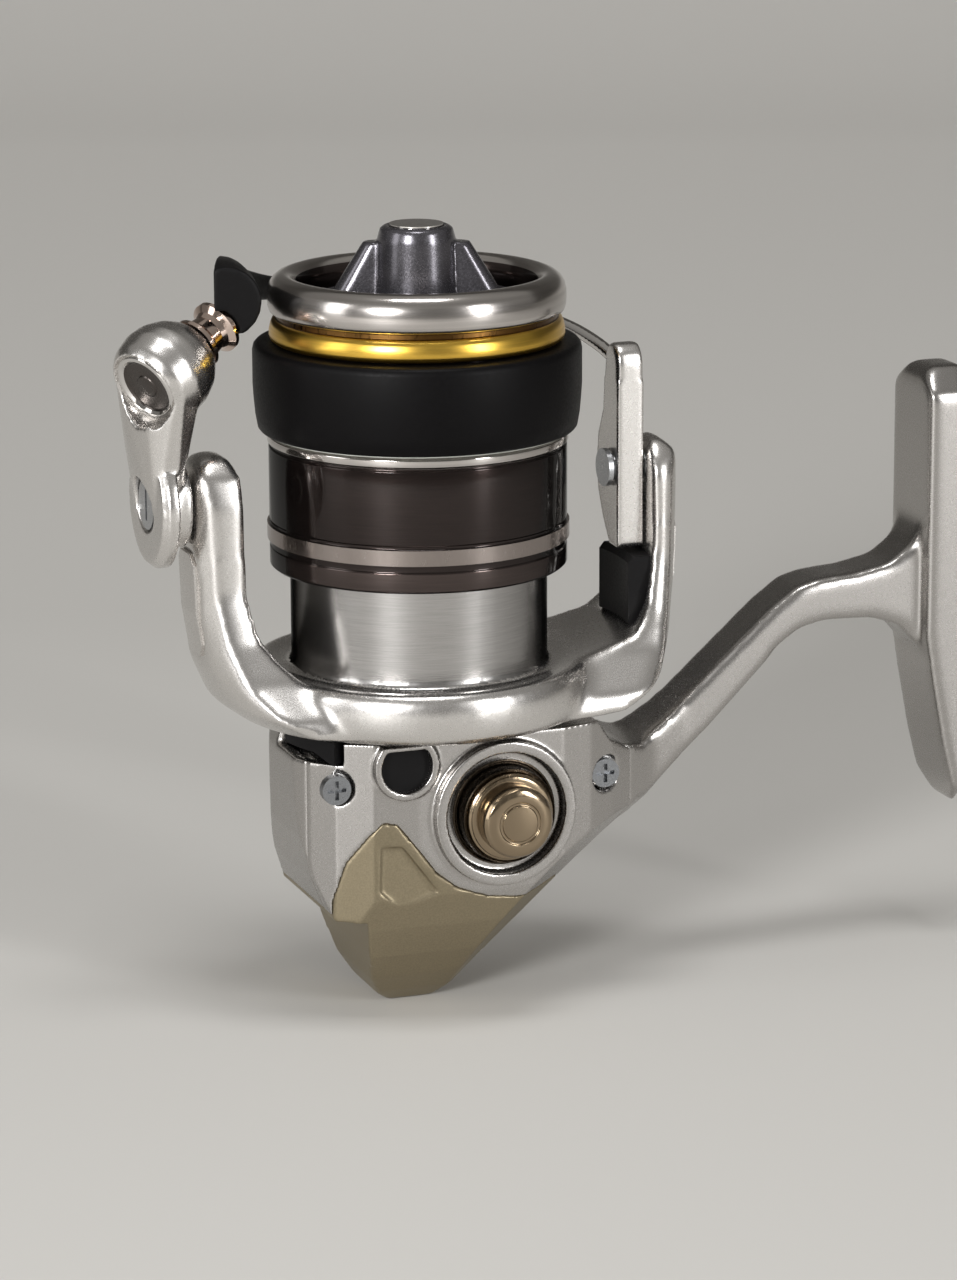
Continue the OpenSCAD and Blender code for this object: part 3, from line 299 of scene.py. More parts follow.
def tint(tree, pattern, dark, light):
    """Mixes two colours by a pattern."""
    ramp = add_node(tree, "ShaderNodeValToRGB", inputs={"Fac": pattern})
    ramp.color_ramp.elements[0].position = 0.35
    ramp.color_ramp.elements[1].position = 0.65
    ramp.color_ramp.elements[0].color = dark
    ramp.color_ramp.elements[1].color = light
    return ramp.outputs["Color"]


def mix(tree, factor, first, second):
    """Mixes two colours by a factor. The colour sockets of the mix node go by number."""
    return add_node(
        tree, "ShaderNodeMix", {"data_type": "RGBA"}, {0: factor, 6: first, 7: second}
    ).outputs[2]


def painted_shade_on_sides(tree, color):
    """Paints shade on the sides of a turned piece: the colour darkens as its faces turn from the
    view.
    """
    slope = add_node(tree, "ShaderNodeLayerWeight", inputs={"Blend": 0.35}).outputs["Facing"]
    return mix(tree, slope, color, linear("0A0909"))


def satin_silver_lacquer(name, color):
    # Silver lacquer sprayed on die-cast aluminium: fine flake, a slight orange peel and soft
    # wide highlights
    material, tree, place = new_finish(name)
    flake = grain(tree, place, 0.25)
    peel = grain(tree, place, 1.6, 1.0)
    return close_finish(
        material,
        tree,
        {
            "Base Color": tint(tree, flake, shaded(color, 0.97), color),
            "Metallic": 1.0,
            "Roughness": spread(tree, flake, 0.25, 0.28),
            "Normal": relief(tree, peel, 0.002),
        },
    )


def turned_aluminium(name, color, roughness=0.24, line=0.12, depth=0.012, graze=1.0):
    # Turned and brushed aluminium: fine rings round the spool axis pull reflections into upright
    # bars. A graze below 1 darkens the sides with a darker edge tint and with painted shade
    material, tree, place = new_finish(name)
    rings = grain(tree, place, line, 1.0, (0.02, 0.02, 1))
    base = tint(tree, rings, shaded(color, 0.86), color)
    if graze < 1:
        base = painted_shade_on_sides(tree, base)
    return close_finish(
        material,
        tree,
        {
            "Base Color": base,
            "Metallic": 1.0,
            "Roughness": roughness,
            "Specular Tint": (graze, graze, graze, 1),
            "Normal": relief(tree, rings, depth),
        },
    )


def polished_metal(name, color, roughness=0.08):
    # Plated and polished: sharp reflections, with faint wipe marks
    material, tree, place = new_finish(name)
    marks = grain(tree, place, 0.6, 3.0, (1, 1, 0.25))
    return close_finish(
        material,
        tree,
        {
            "Base Color": color,
            "Metallic": 1.0,
            "Roughness": spread(tree, marks, roughness * 0.8, roughness * 1.4),
        },
    )


def gloss_lacquer(name, color):
    # Smoke-tinted lacquer over turned metal: the turning pulls reflections into upright bars
    # under a hard clear coat. Its sides carry painted shade
    material, tree, place = new_finish(name)
    cloud = grain(tree, place, 0.15, 1.0, (0.02, 0.02, 1))
    return close_finish(
        material,
        tree,
        {
            "Base Color": painted_shade_on_sides(tree, tint(tree, cloud, shaded(color, 0.8), color)),
            "Metallic": 0.85,
            "Roughness": 0.16,
            "Specular Tint": (0.1, 0.1, 0.1, 1),
            "Coat Weight": 0.3,
            "Coat Roughness": 0.05,
            "Coat IOR": 1.5,
            "Normal": relief(tree, cloud, 0.004),
        },
    )


def satin_lacquer(name, color, metallic=0.8, roughness=0.36):
    # Tinted satin lacquer with a fine metal flake
    material, tree, place = new_finish(name)
    flake = grain(tree, place, 0.25)
    peel = grain(tree, place, 1.6, 1.0)
    return close_finish(
        material,
        tree,
        {
            "Base Color": tint(tree, flake, shaded(color, 0.86), color),
            "Metallic": metallic,
            "Roughness": spread(tree, flake, roughness - 0.04, roughness + 0.05),
            "Normal": relief(tree, peel, 0.006),
        },
    )


def moulded(name, color, roughness=0.45, size=0.35, depth=0.01, sheen=0.5):
    # Moulded plastic or rubber: spark-eroded grain from the mould, slightly uneven sheen
    material, tree, place = new_finish(name)
    pits = grain(tree, place, size, 3.0)
    return close_finish(
        material,
        tree,
        {
            "Base Color": tint(tree, pits, shaded(color, 0.8), color),
            "Roughness": spread(tree, pits, roughness - 0.05, roughness + 0.08),
            "Specular IOR Level": sheen,
            "Normal": relief(tree, pits, depth),
        },
    )


def machined_metal(name, color, roughness=0.3):
    # Machined and left bare: even tool marks under 0.2 mm apart
    material, tree, place = new_finish(name)
    marks = grain(tree, place, 0.18)
    return close_finish(
        material,
        tree,
        {
            "Base Color": color,
            "Metallic": 1.0,
            "Roughness": spread(tree, marks, roughness - 0.06, roughness + 0.08),
            "Normal": relief(tree, marks, 0.006),
        },
    )


def braided_line(color):
    # Braided fishing line wound tight, with its ridges drawn 0.5 mm apart so that they show.
    # One band of the wave is 2 pi / 20 of its scale
    material, tree, place = new_finish("braided_line")
    ridge = 0.5
    turns = add_node(
        tree,
        "ShaderNodeTexWave",
        {"bands_direction": "Z"},
        {
            "Vector": place,
            "Scale": 2 * math.pi / (20 * ridge * MM),
            "Distortion": 0.6,
            "Detail": 1.0,
        },
    ).outputs["Fac"]
    return close_finish(
        material,
        tree,
        {
            "Base Color": tint(tree, turns, shaded(color, 0.6), color),
            "Roughness": 0.6,
            "Normal": relief(tree, turns, 0.1),
        },
    )


def pressed_felt(color):
    # Oiled felt drag washer: short matted fibres about 0.4 mm apart
    material, tree, place = new_finish("pressed_felt")
    fibres = grain(tree, place, 0.4, 4.0)
    return close_finish(
        material,
        tree,
        {
            "Base Color": tint(tree, fibres, shaded(color, 0.6), color),
            "Roughness": 0.85,
            "Normal": relief(tree, fibres, 0.08),
        },
    )


# ---- Values a user would change ---------------------------------------------


def length(name, description, default):
    """A length, given in mm."""
    return bpy.props.FloatProperty(
        name=name, description=description, default=default * MM, unit="LENGTH"
    )


def turn(name, description, degrees):
    return bpy.props.FloatProperty(
        name=name, description=description, default=math.radians(degrees), subtype="ANGLE"
    )


def share(name, description):
    """A factor on a measure, 1 as designed."""
    return bpy.props.FloatProperty(name=name, description=description, default=1, min=0.2, max=5)


def shade(name, description, code):
    return bpy.props.FloatVectorProperty(
        name=name,
        description=description,
        default=linear(code),
        size=4,
        min=0,
        max=1,
        subtype="COLOR",
    )


class ReelFinishes(bpy.types.PropertyGroup):
    silver: shade("Silver", "Lacquer of the rotor, bail arm and handle", "DAD7D4")
    # Painted shade: the silver lacquer made darker for the body, side cover and foot
    shade_darkened_silver: shade("Body silver", "Lacquer of the body, side cover and foot", "B4B1AE")
    drum: shade("Drum", "Turned drum of the rotor", "BDBBB9")
    smoke: shade("Smoke", "Gloss lacquer of the spool skirt", "342C2A")
    # The lip's inner wall takes this colour as painted shade
    flange: shade("Flange", "Lower edge of the skirt and inside of the lip", "4C423F")
    knob: shade("Knob", "Drag knob", "67656A")
    lip: shade("Lip", "Polished spool lip", "C6C1BD")
    gold: shade("Gold", "Anodised ring below the lip", "E2B850")
    # Painted shade: the top of the gold ring, in the groove under the lip, takes this dark amber
    groove: shade("Groove", "Groove above the gold ring", "5A4020")
    band: shade("Band", "Moulded band round the line", "070607")
    champagne: shade("Champagne", "Rear cover", "8F846D")
    bronze: shade("Bronze", "Port ring and cap", "94846E")
    chrome: shade("Chrome", "Bail wire and small plated parts", "D9D6D3")
    roller: shade("Roller", "Line roller", "D8C4B8")
    black: shade("Black", "Small moulded parts", "0C0B0C")
    steel: shade("Steel", "Bearings, shafts and screws", "B9BBBE")
    brass: shade("Brass", "Gears and nuts", "C9A65A")
    grip: shade("Grip", "Handle knob", "2A2A2D")
    braid: shade("Braid", "Wound line", "B9BBB4")
    felt: shade("Felt", "Drag washers", "6A635C")


class ReelSizes(bpy.types.PropertyGroup):
    casting_spacing: share("Casting spacing", "Spacing of the points on the castings")
    edge_width: share("Edge width", "Width of the broken edges on the turned pieces")


class ReelCamera(bpy.types.PropertyGroup):
    azimuth: turn("Azimuth", "Turn of the view round the reel", -20)
    elevation: turn("Elevation", "Height of the view", 13.6245)
    roll: turn("Roll", "Tilt of the picture", -0.235)
    distance: length("Distance", "From the camera to the middle of the reel", 750)
    lens: bpy.props.FloatProperty(
        name="Lens", description="Focal length in mm on a 24 mm high sensor", default=89.73
    )


# ---- Stage ------------------------------------------------------------------


class REEL_OT_stage(bpy.types.Operator):
    """Camera, pale seamless floor, lamps and world"""

    bl_idname = "reel.stage"
    bl_label = "Stage"

    def execute(self, context):
        self.camera(context)
        self.seamless(context)
        self.lamps(context)
        self.world(context)
        context.scene.view_settings.view_transform = "Standard"
        return {"FINISHED"}

    def camera(self, context):
        values = context.scene.reel_camera
        azimuth, elevation, roll = values.azimuth, values.elevation, values.roll
        target = Vector((10, 0, 60)) * MM
        back = Vector(
            (
                math.sin(azimuth) * math.cos(elevation),
                -math.cos(azimuth) * math.cos(elevation),
                math.sin(elevation),
            )
        )
        right = Vector((math.cos(azimuth), math.sin(azimuth), 0))
        up = back.cross(right)
        turned_right = right * math.cos(roll) + up * math.sin(roll)
        turned_up = up * math.cos(roll) - right * math.sin(roll)
        axes = Matrix((turned_right, turned_up, back)).transposed().to_4x4()
        bpy.ops.object.camera_add()
        camera = context.object
        camera.name = "camera"
        camera.matrix_world = Matrix.Translation(target + back * values.distance) @ axes
        camera.data.sensor_fit = "VERTICAL"
        camera.data.sensor_height = 24
        camera.data.lens = values.lens
        camera.data.shift_x = -0.0006
        camera.data.shift_y = -0.01995
        camera.data.clip_start = 0.01
        context.scene.camera = camera

    def seamless(self, context):
        """A sheet that runs back under the reel and sweeps up behind it, square to the camera."""
        azimuth = context.scene.reel_camera.azimuth
        width, depth, back_edge = 16, 9, 1
        sweep_radius, sweep_angle = 0.9, 80
        wall = (0, 0.5, 2.6)
        deselect()
        bpy.ops.mesh.primitive_plane_add(size=1)
        sheet = context.object
        sheet.name = "seamless"
        sheet.scale = (width, depth, 1)
        sheet.location = (0, back_edge - depth / 2, 0)
        settle_place(sheet)
        bpy.ops.object.mode_set(mode="EDIT")
        bpy.ops.mesh.select_mode(type="EDGE")
        bpy.ops.mesh.select_all(action="DESELECT")
        edit = bmesh.from_edit_mesh(sheet.data)
        for edge in edit.edges:
            edge.select = all(corner.co.y > 0.5 for corner in edge.verts)
        bmesh.update_edit_mesh(sheet.data)
        bpy.ops.mesh.spin(
            steps=24,
            angle=math.radians(-sweep_angle),
            center=(0, back_edge, sweep_radius),
            axis=(1, 0, 0),
        )
        bpy.ops.mesh.extrude_region_move(TRANSFORM_OT_translate={"value": wall})
        bpy.ops.object.mode_set(mode="OBJECT")
        sheet.rotation_euler = (0, 0, azimuth)
        settle_place(sheet)
        smooth(sheet, 60)
        sheet.data.materials.append(self.paper())

    def paper(self):
        # Coated background paper with the faintest sheen, graduated: painted light makes it paler
        # further back on the floor, and painted shade makes it grey where it sweeps up
        material, tree, place = new_finish("background_paper")
        azimuth = bpy.context.scene.reel_camera.azimuth
        back = add_node(
            tree,
            "ShaderNodeVectorMath",
            {"operation": "DOT_PRODUCT"},
            {0: place, 1: (-math.sin(azimuth), math.cos(azimuth), 0)},
        ).outputs["Value"]
        height = add_node(tree, "ShaderNodeSeparateXYZ", inputs={"Vector": place}).outputs["Z"]
        painted_far_light = add_node(
            tree,
            "ShaderNodeMapRange",
            inputs={
                "Value": back,
                "From Min": 0.25,
                "From Max": 0.95,
                "To Min": 0.35,
                "To Max": 0.65,
            },
        ).outputs["Result"]
        up = add_node(
            tree,
            "ShaderNodeMapRange",
            inputs={"Value": height, "From Min": 0.15, "From Max": 0.4},
        ).outputs["Result"]
        floor = tint(tree, painted_far_light, linear("C6C4C0"), linear("F4F2EE"))
        color = mix(tree, up, floor, linear("7E7C79"))
        return close_finish(material, tree, {"Base Color": color, "Roughness": 0.6, "IOR": 1.4})

    def lamps(self, context):
        """Soft boxes aimed at the reel: name, place in m, size in m, strength in W."""
        middle = Vector((0.01, 0, 0.07))
        boxes = (
            ("key_box", (-0.86, -0.87, 0.45), (0.3, 0.3), 13),
            ("left_box", (-1.1, -0.1, 0.4), (0.34, 0.7), 2.4),
            ("right_box", (0.58, -0.96, 0.36), (0.18, 0.55), 6),
            ("top_box", (-0.05, -0.2, 1.25), (0.45, 0.25), 5),
        )
        for name, place, (width, height), power in boxes:
            bpy.ops.object.light_add(type="AREA", location=place)
            lamp = context.object
            lamp.name = name
            lamp.data.shape = "RECTANGLE"
            lamp.data.size = width
            lamp.data.size_y = height
            lamp.data.energy = power
            aim = middle - Vector(place)
            lamp.rotation_euler = aim.to_track_quat("-Z", "Y").to_euler()

    def world(self, context):
        """A plain grey room, a little brighter towards the ceiling."""
        world = bpy.data.worlds.new("grey_room")
        world.use_nodes = True
        tree = world.node_tree
        tree.nodes.clear()
        toward = add_node(tree, "ShaderNodeTexCoord").outputs["Generated"]
        height = add_node(tree, "ShaderNodeSeparateXYZ", inputs={"Vector": toward}).outputs["Z"]
        ramp = add_node(tree, "ShaderNodeValToRGB", inputs={"Fac": height})
        ramp.color_ramp.elements[0].color = linear("7C7A77")
        ramp.color_ramp.elements[1].color = linear("AAA8A4")
        background = add_node(
            tree, "ShaderNodeBackground", inputs={"Color": ramp.outputs["Color"], "Strength": 0.8}
        )
        add_node(
            tree, "ShaderNodeOutputWorld", inputs={"Surface": background.outputs["Background"]}
        )
        context.scene.world = world


# ---- The reel ---------------------------------------------------------------


def slot_finishes(values):
    """A finish for each of the record's material slots, for the CAD nodes that stay as they are."""
    return {
        "satin_silver": satin_silver_lacquer("satin_silver_lacquer", values.silver),
        "polished_silver": polished_metal("polished_plating", values.chrome),
        "smoke_gloss": gloss_lacquer("smoke_gloss_lacquer", values.smoke),
        "champagne": satin_lacquer("champagne_lacquer", values.champagne),
        "port_bronze": polished_metal("bronze_plating", values.bronze, roughness=0.16),
        "gold_anodised": turned_aluminium(
            "gold_anodised_aluminium", values.gold, roughness=0.28, line=0.3, depth=0.01
        ),
        "black_rubber": moulded("black_moulded_band", values.band, sheen=0.1),
        "black_plastic": moulded("black_acetal", values.black, roughness=0.5, sheen=0.15),
        "knob_grip": moulded(
            "soft_grip_rubber", values.grip, roughness=0.55, size=0.5, depth=0.03
        ),
        "steel": machined_metal("bare_steel", values.steel),
        "brass": machined_metal("bare_brass", values.brass, roughness=0.26),
        "roller_plated": polished_metal("hard_plated_roller", values.roller, roughness=0.1),
        "line_braid": braided_line(values.braid),
        "drag_felt": pressed_felt(values.felt),
    }


def finish_of(slot):
    """The Blender finish already made for a slot."""
    return bpy.data.materials[SLOT_MATERIALS[slot]]


SLOT_MATERIALS = {}


class REEL_OT_inner_works(bpy.types.Operator):
    """Finishes for the gears, bearings, shafts and every other CAD node that keeps its shape"""

    bl_idname = "reel.inner_works"
    bl_label = "Inner works"

    def execute(self, context):
        finishes = slot_finishes(context.scene.reel_finishes)
        for slot, material in finishes.items():
            SLOT_MATERIALS[slot] = material.name
        own = {
            "skirt_ring": polished_metal("tinted_plating", linear("968D88"), roughness=0.2),
            "body_screws": machined_metal("zinc_plated_screw", linear("8B8D90")),
        }
        for row in frame["record"]["subparts"]:
            node = NODES[row["node"]]
            material = own.get(row["node"], finishes[row["material_slot"]])
            if not node.material_slots:
                node.data.materials.append(material)
            for slot in node.material_slots:
                slot.material = material
        return {"FINISHED"}


class REEL_OT_body(bpy.types.Operator):
    """Die-cast body with its stem and foot, side cover and rear cover"""

    bl_idname = "reel.body"
    bl_label = "Body castings"

    def execute(self, context):
        values = context.scene.reel_finishes
        # Painted shade: the body's lacquer is the silver made darker
        shade_darkened_silver = satin_silver_lacquer("body_silver_lacquer", values.shade_darkened_silver)
        for node, finish, slot, voxel, passes, soft in (
            ("body_housing", shade_darkened_silver, "satin_silver", 0.42, 4, lambda at: at.x > STEM_X),
            ("side_cover", shade_darkened_silver, "satin_silver", 0.26, 3, None),
            ("rear_cover", finish_of("champagne"), "champagne", 0.26, 5, lambda at: at.z < TAIL_Z),
        ):
            piece = casting(node, node + "_casting", voxel, passes, soft=soft, soft_passes=40)
            finish_piece(piece, finish, "frame", slot, node)
        return {"FINISHED"}


class REEL_OT_rotor(bpy.types.Operator):
    """Die-cast rotor: turned drum, rolled rim and the two arms"""

    bl_idname = "reel.rotor"
    bl_label = "Rotor"

    def execute(self, context):
        values = context.scene.reel_finishes
        rotor = casting(
            "rotor",
            "rotor_casting",
            voxel=0.55,
            passes=8,
            soft=lambda at: math.hypot(at.x, at.y) > RIM_R and (abs(at.x) > ARM_X or at.z < ARM_Z),
            soft_passes=24,
        )
        finish_piece(rotor, finish_of("satin_silver"), "rotor_head", "satin_silver", "rotor")
        # The drum's finish paints shade on its sides (graze below 1)
        rotor.data.materials.append(turned_aluminium("turned_drum", values.drum, graze=0.1))
        for face in rotor.data.polygons:
            at = face.center
            if math.hypot(at.x, at.y) < DRUM_R * MM and at.z > DRUM_Z * MM:
                face.material_index = 1
        return {"FINISHED"}


class REEL_OT_bail(bpy.types.Operator):
    """Bail arm with its bare cap, line guard, wire and lever"""

    bl_idname = "reel.bail"
    bl_label = "Bail"

    def execute(self, context):
        arm = casting("bail_arm", "bail_arm_casting", voxel=0.32, passes=10)
        finish_piece(arm, finish_of("satin_silver"), "bail", "satin_silver", "bail_arm")
        guard = casting("roller_cone", "line_guard", voxel=0.3, passes=5)
        finish_piece(guard, finish_of("black_plastic"), "bail", "black_plastic", "roller_cone")
        wire = casting("bail_wire", "bail_wire_rod", voxel=0.22, passes=8)
        finish_piece(wire, finish_of("polished_silver"), "bail", "polished_silver", "bail_wire")
        lever = casting(
            "bail_lever",
            "bail_lever_casting",
            voxel=0.3,
            passes=8,
            soft=lambda at: at.z > LEVER_TIP_Z,
            soft_passes=30,
        )
        finish_piece(lever, finish_of("satin_silver"), "bail", "satin_silver", "bail_lever")
        self.cap()
        return {"FINISHED"}

    def cap(self):
        """Plain dished cap in the end of the arm's head, square to the line roller's axle."""
        low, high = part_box("bail_arm_cap")
        axis = Vector((0.8, 0.42, 0.43)).normalized()
        half_thickness = 0.6
        face = (low + high) / 2 / MM - axis * half_thickness
        cap = turned(
            "bail_arm_cap_dished",
            [(0, 0.55), (1.7, 0.5), (1.9, 0.75), (4.1, 0.7), (4.4, 0.45), (4.8, 0.05), (5.3, 0.1),
             (5.7, 0.5), (5.7, 1.15), (0, 1.15)],
            face,
            axis,
        )
        soften_edges(cap, 0.1)
        smooth(cap)
        finish_piece(cap, finish_of("polished_silver"), "bail", "polished_silver", "bail_arm_cap")
        cap.data.materials.append(
            polished_metal("smoked_plating", linear("55504D"), roughness=0.22)
        )
        for part in cap.data.polygons:
            if (part.center / MM - face).cross(axis).length < CAP_FACE_R:
                part.material_index = 1


class REEL_OT_spool(bpy.types.Operator):
    """Spool: polished lip, gold ring, moulded band and gloss skirt"""

    bl_idname = "reel.spool"
    bl_label = "Spool"

    def execute(self, context):
        self.values = context.scene.reel_finishes
        self.shell()
        self.lip()
        self.rings()
        return {"FINISHED"}

    def shell(self):
        shell = turned(
            "spool_shell",
            [
                (21.9, 69.5), (22.7, 69.5), (23.1, 69.9), (23.1, 72.6), (22.95, 72.8),
                (22.95, 73.9), (23.1, 74), (23.1, 76.3), (22.95, 76.4), (22.95, 76.8),
                (23.1, 77), (23.1, 88.3),
                (22.8, 88.5), (22.8, 88.8), (23.3, 89.1), (23.3, 90.1), (22.9, 90.55), (13.5, 90.6),
                (13.5, 104), (20.7, 104), (20.7, 104.8), (17, 104.8), (17, 108.5), (12, 108.5),
                (12, 98.5), (2.05, 98.5), (2.05, 87.1), (5, 87.1), (5, 96), (12, 96),
                (12, 89), (21.9, 88.6), (21.9, 69.5),
            ],
        )
        soften_edges(shell, 0.12)
        smooth(shell)
        finish_piece(shell, finish_of("smoke_gloss"), "spool_body", "smoke_gloss", "spool")
        shell.data.materials.append(
            turned_aluminium(
                "polished_flange", self.values.lip, roughness=0.12, line=0.5, depth=0.003
            )
        )
        self.flange_and_lip_shade_finish = gloss_lacquer("smoked_flange_lacquer_and_painted_lip_shade", self.values.flange)
        shell.data.materials.append(self.flange_and_lip_shade_finish)
        for face in shell.data.polygons:
            if BEAD_Z[0] * MM < face.center.z < BEAD_Z[1] * MM:
                face.material_index = 1
            elif face.center.z < FLANGE_Z * MM:
                face.material_index = 2

    def lip(self):
        lip = turned(
            "spool_lip_turned",
            [
                (18.2, 109), (22, 109), (22.7, 109.4), (22.95, 110.2), (23, 111.2), (22.95, 112.4),
                (22.7, 113.4), (22.2, 114.2), (21.5, 114.75), (20.7, 115), (19.9, 114.95),
                (19.2, 114.6), (18.6, 114), (18.3, 113.3), (18.2, 112.4), (18.2, 109),
            ],
            sides=192,
        )
        soften_edges(lip, 0.15, angle=50)
        smooth(lip, 60)
        lip_finish = turned_aluminium(
            "polished_lip", self.values.lip, roughness=0.2, line=0.5, depth=0.006
        )
        finish_piece(lip, lip_finish, "spool_body", "polished_silver", "spool_lip")
        # Painted shade: the lip's inner wall takes the darker flange lacquer
        lip.data.materials.append(self.flange_and_lip_shade_finish)
        for face in lip.data.polygons:
            if math.hypot(face.center.x, face.center.y) < LIP_INNER_R * MM:
                face.material_index = 1

    def rings(self):
        ring_radius = 21.4
        gold = turned(
            "gold_ring_turned",
            [
                (17, 104.8), (20.9, 104.8), (21.25, 105.1), (ring_radius, 105.6), (21.38, 106.4),
                (21.2, 107.3), (20.95, 107.9), (20.5, 108.15), (20.3, 108.3), (20.3, 109),
                (17, 109), (17, 104.8),
            ],
        )
        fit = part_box("gold_ring")[1].x / (ring_radius * MM)
        gold.scale = (fit, fit, 1)
        settle_place(gold)
        soften_edges(gold, 0.1, angle=50)
        smooth(gold, 60)
        finish_piece(gold, finish_of("gold_anodised"), "spool_body", "gold_anodised", "gold_ring")
        # Painted shade: the ring's top under the lip's overhang is painted dark amber
        gold.data.materials.append(
            polished_metal("amber_painted_groove_shade", self.values.groove, roughness=0.3)
        )
        for face in gold.data.polygons:
            if face.center.z > GROOVE_Z * MM:
                face.material_index = 1
        band = turned(
            "line_band",
            [(23.6, 90.9), (24.3, 90.9), (24.7, 91.4), (25.05, 93.4), (25.25, 95.6), (25.4, 98),
             (25.4, 103.2), (25.25, 103.9), (24.9, 104.3), (24.4, 104.45), (20.8, 104.5),
             (20.8, 104.05), (23.6, 104.05), (23.6, 90.9)],
            sides=192,
        )
        soften_edges(band, 0.15, angle=50)
        smooth(band, 60)
        finish_piece(band, finish_of("black_rubber"), "spool_body", "black_rubber", "spool_band")


class REEL_OT_drag_knob(bpy.types.Operator):
    """Front drag knob with its two wings"""

    bl_idname = "reel.drag_knob"
    bl_label = "Drag knob"

    def execute(self, context):
        values = context.scene.reel_finishes
        knob = casting("drag_knob", "drag_knob_moulding", voxel=0.3, passes=4)
        knob_finish = satin_lacquer("knob_lacquer", values.knob, metallic=0.85, roughness=0.24)
        finish_piece(knob, knob_finish, "drag", "smoke_gloss", "drag_knob")
        return {"FINISHED"}


class REEL_OT_port(bpy.types.Operator):
    """Stepped bronze-plated ring and cap over the drive bearing"""

    bl_idname = "reel.port"
    bl_label = "Port"

    def execute(self, context):
        low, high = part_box("port_cap")
        at = axle("port_cap")
        ring_low, ring_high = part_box("port_ring")
        front, back = -ring_low.y / MM, -ring_high.y / MM
        ring = turned(
            "port_ring_turned",
            [(4.6, back), (8.4, back), (8.4, back + 0.9), (8.1, back + 1), (7.9, back + 0.5),
             (7.7, back + 0.5), (7.5, front - 1.3), (7.35, front - 1.2), (7.2, front - 1.6),
             (7.05, front - 1.6), (6.9, front - 0.7), (6.6, front - 0.5), (6.5, front - 0.1),
             (5.9, front), (4.6, front), (4.6, back)],
            at,
            (0, -1, 0),
        )
        soften_edges(ring, 0.12)
        smooth(ring)
        finish_piece(ring, finish_of("port_bronze"), "frame", "port_bronze", "port_ring")
        # Painted shadow: the ring's outer steps round the bore are painted dark bronze
        ring.data.materials.append(
            polished_metal("bronze_painted_bore_shadow", linear("3E362D"), roughness=0.25)
        )
        for face in ring.data.polygons:
            off = math.hypot(face.center.x / MM - at[0], face.center.z / MM - at[2])
            if off > PORT_FOOT_R:
                face.material_index = 1
        cap_front, cap_back = -low.y / MM, -high.y / MM
        cap = turned(
            "port_cap_turned",
            [(0, cap_back), (4.6, cap_back), (4.6, front), (5.6, front), (5.6, cap_front - 0.9),
             (5.2, cap_front - 0.35), (4.6, cap_front - 0.1), (3.4, cap_front - 0.08),
             (3.3, cap_front - 0.3), (2.9, cap_front - 0.3), (2.8, cap_front - 0.05),
             (0, cap_front)],
            at,
            (0, -1, 0),
        )
        soften_edges(cap, 0.08)
        smooth(cap)
        finish_piece(cap, finish_of("port_bronze"), "frame", "port_bronze", "port_cap")
        return {"FINISHED"}


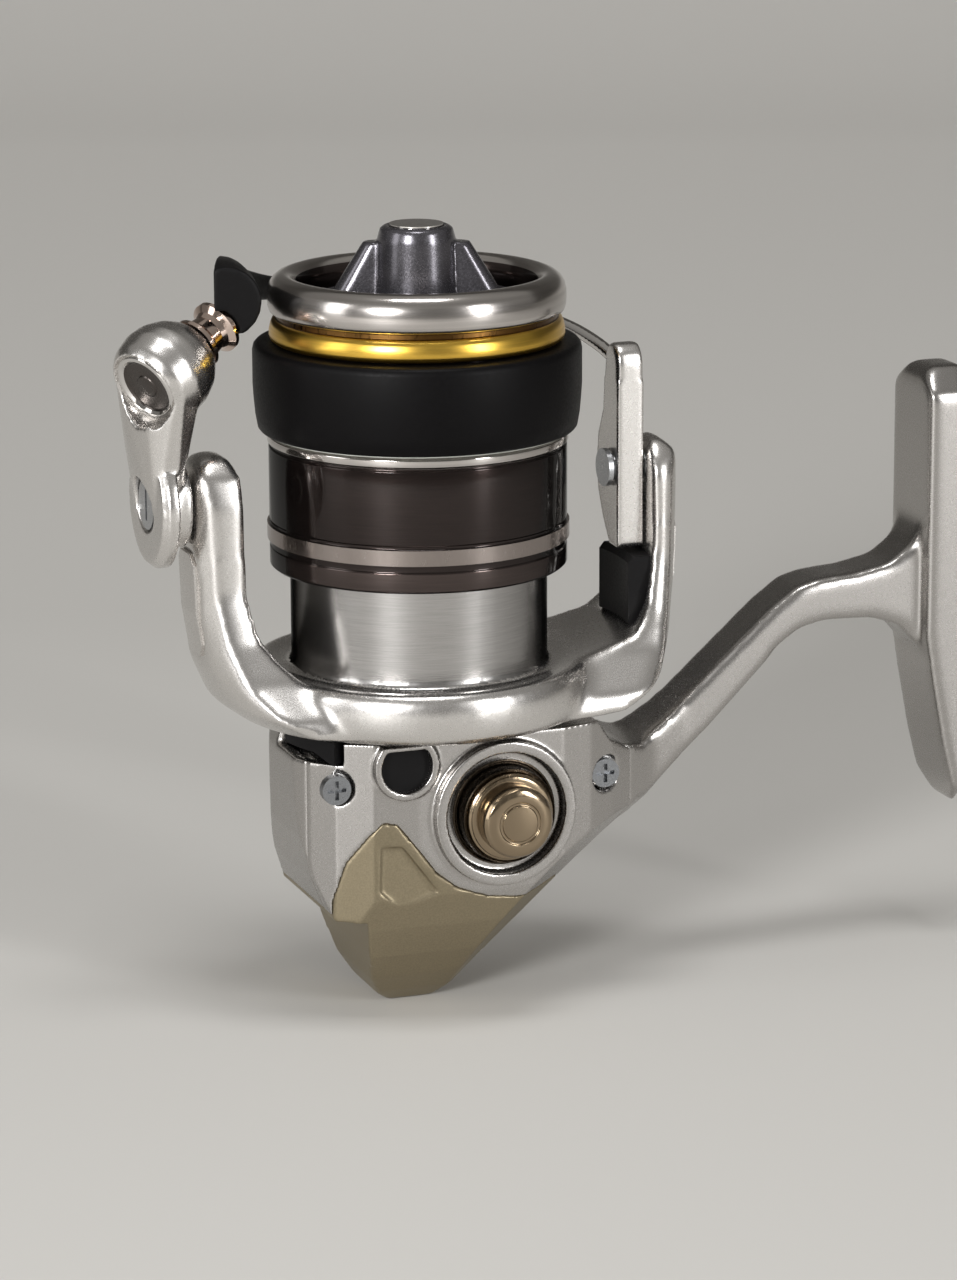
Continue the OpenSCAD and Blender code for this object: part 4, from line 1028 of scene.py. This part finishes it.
class REEL_OT_handle(bpy.types.Operator):
    """Crank shank, flat arm, soft knob and its cap"""

    bl_idname = "reel.handle"
    bl_label = "Handle"

    def execute(self, context):
        arm = casting("handle_arm", "handle_arm_casting", voxel=0.4, passes=5)
        finish_piece(arm, finish_of("satin_silver"), "crank", "satin_silver", "handle_arm")
        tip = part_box("handle_shank")[1].y / MM
        shank = turned(
            "handle_shank_turned",
            [(0, 0.5), (2.2, 0.5), (2.2, 18.1), (6.3, 18.1), (6.6, 18.6), (6.6, 21.8), (6.3, 22.6),
             (5.5, 24.4), (4.7, 27), (4.3, 31), (4.2, 38), (4.5, 45), (4.9, 48), (5.4, tip - 0.5),
             (5.2, tip), (0, tip)],
            axle("handle_shank"),
            (0, 1, 0),
        )
        soften_edges(shank, 0.2, angle=40)
        smooth(shank, 50)
        finish = finish_of("polished_silver")
        finish_piece(shank, finish, "crank", "polished_silver", "handle_shank")
        self.knob()
        return {"FINISHED"}

    def knob(self):
        at = axle("handle_knob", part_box("handle_knob")[0].y / MM)
        knob = turned(
            "handle_knob_grip",
            [(2.05, 0), (3.7, 0), (4.6, 0.5), (5.1, 1.6), (5.5, 3.6), (5.9, 5.4), (5.7, 5.9),
             (6.1, 6.4), (6.9, 8.2), (7.8, 10.4), (8.6, 13), (9.1, 15.4), (9.45, 18), (9.4, 20),
             (9.1, 22), (8.4, 24), (7.3, 25.8), (6, 27.1), (4.9, 28), (3.6, 28), (3.6, 25.6),
             (2.05, 25.6), (2.05, 0)],
            at,
            (0, 1, 0),
        )
        soften_edges(knob, 0.15, angle=45)
        smooth(knob, 60)
        finish_piece(knob, finish_of("knob_grip"), "grip", "knob_grip", "handle_knob")
        cap = turned(
            "knob_cap_turned",
            [(0, 25.8), (3.55, 25.8), (3.55, 28), (3.3, 28.35), (2.6, 28.48), (0, 28.5)],
            at,
            (0, 1, 0),
        )
        soften_edges(cap, 0.1, angle=40)
        smooth(cap, 50)
        finish_piece(cap, finish_of("polished_silver"), "grip", "polished_silver", "knob_cap")


OPERATORS = (
    REEL_OT_stage,
    REEL_OT_inner_works,
    REEL_OT_body,
    REEL_OT_rotor,
    REEL_OT_bail,
    REEL_OT_spool,
    REEL_OT_drag_knob,
    REEL_OT_port,
    REEL_OT_handle,
)


class REEL_PT_panel(bpy.types.Panel):
    """The reel's pieces, in the order in which they are made"""

    bl_idname = "REEL_PT_panel"
    bl_label = "Spinning reel"
    bl_space_type = "VIEW_3D"
    bl_region_type = "UI"
    bl_category = "Reel"

    def draw(self, context):
        for operator in OPERATORS:
            self.layout.operator(operator.bl_idname)
        scene = context.scene
        for values in (scene.reel_sizes, scene.reel_finishes, scene.reel_camera):
            box = self.layout.box()
            for key in values.bl_rna.properties.keys():
                if key not in {"rna_type", "name"}:
                    box.prop(values, key)


CLASSES = (ReelFinishes, ReelSizes, ReelCamera, *OPERATORS, REEL_PT_panel)


def register():
    for kind in CLASSES:
        bpy.utils.register_class(kind)
    bpy.types.Scene.reel_finishes = bpy.props.PointerProperty(type=ReelFinishes)
    bpy.types.Scene.reel_sizes = bpy.props.PointerProperty(type=ReelSizes)
    bpy.types.Scene.reel_camera = bpy.props.PointerProperty(type=ReelCamera)


def unregister():
    del bpy.types.Scene.reel_camera
    del bpy.types.Scene.reel_sizes
    del bpy.types.Scene.reel_finishes
    for kind in reversed(CLASSES):
        bpy.utils.unregister_class(kind)


def main():
    register()
    for operator in OPERATORS:
        group, action = operator.bl_idname.split(".")
        result = getattr(getattr(bpy.ops, group), action)()
        if result != {"FINISHED"}:
            raise RuntimeError(f"{operator.bl_label} did not finish")


if __name__ == "__main__":
    main()
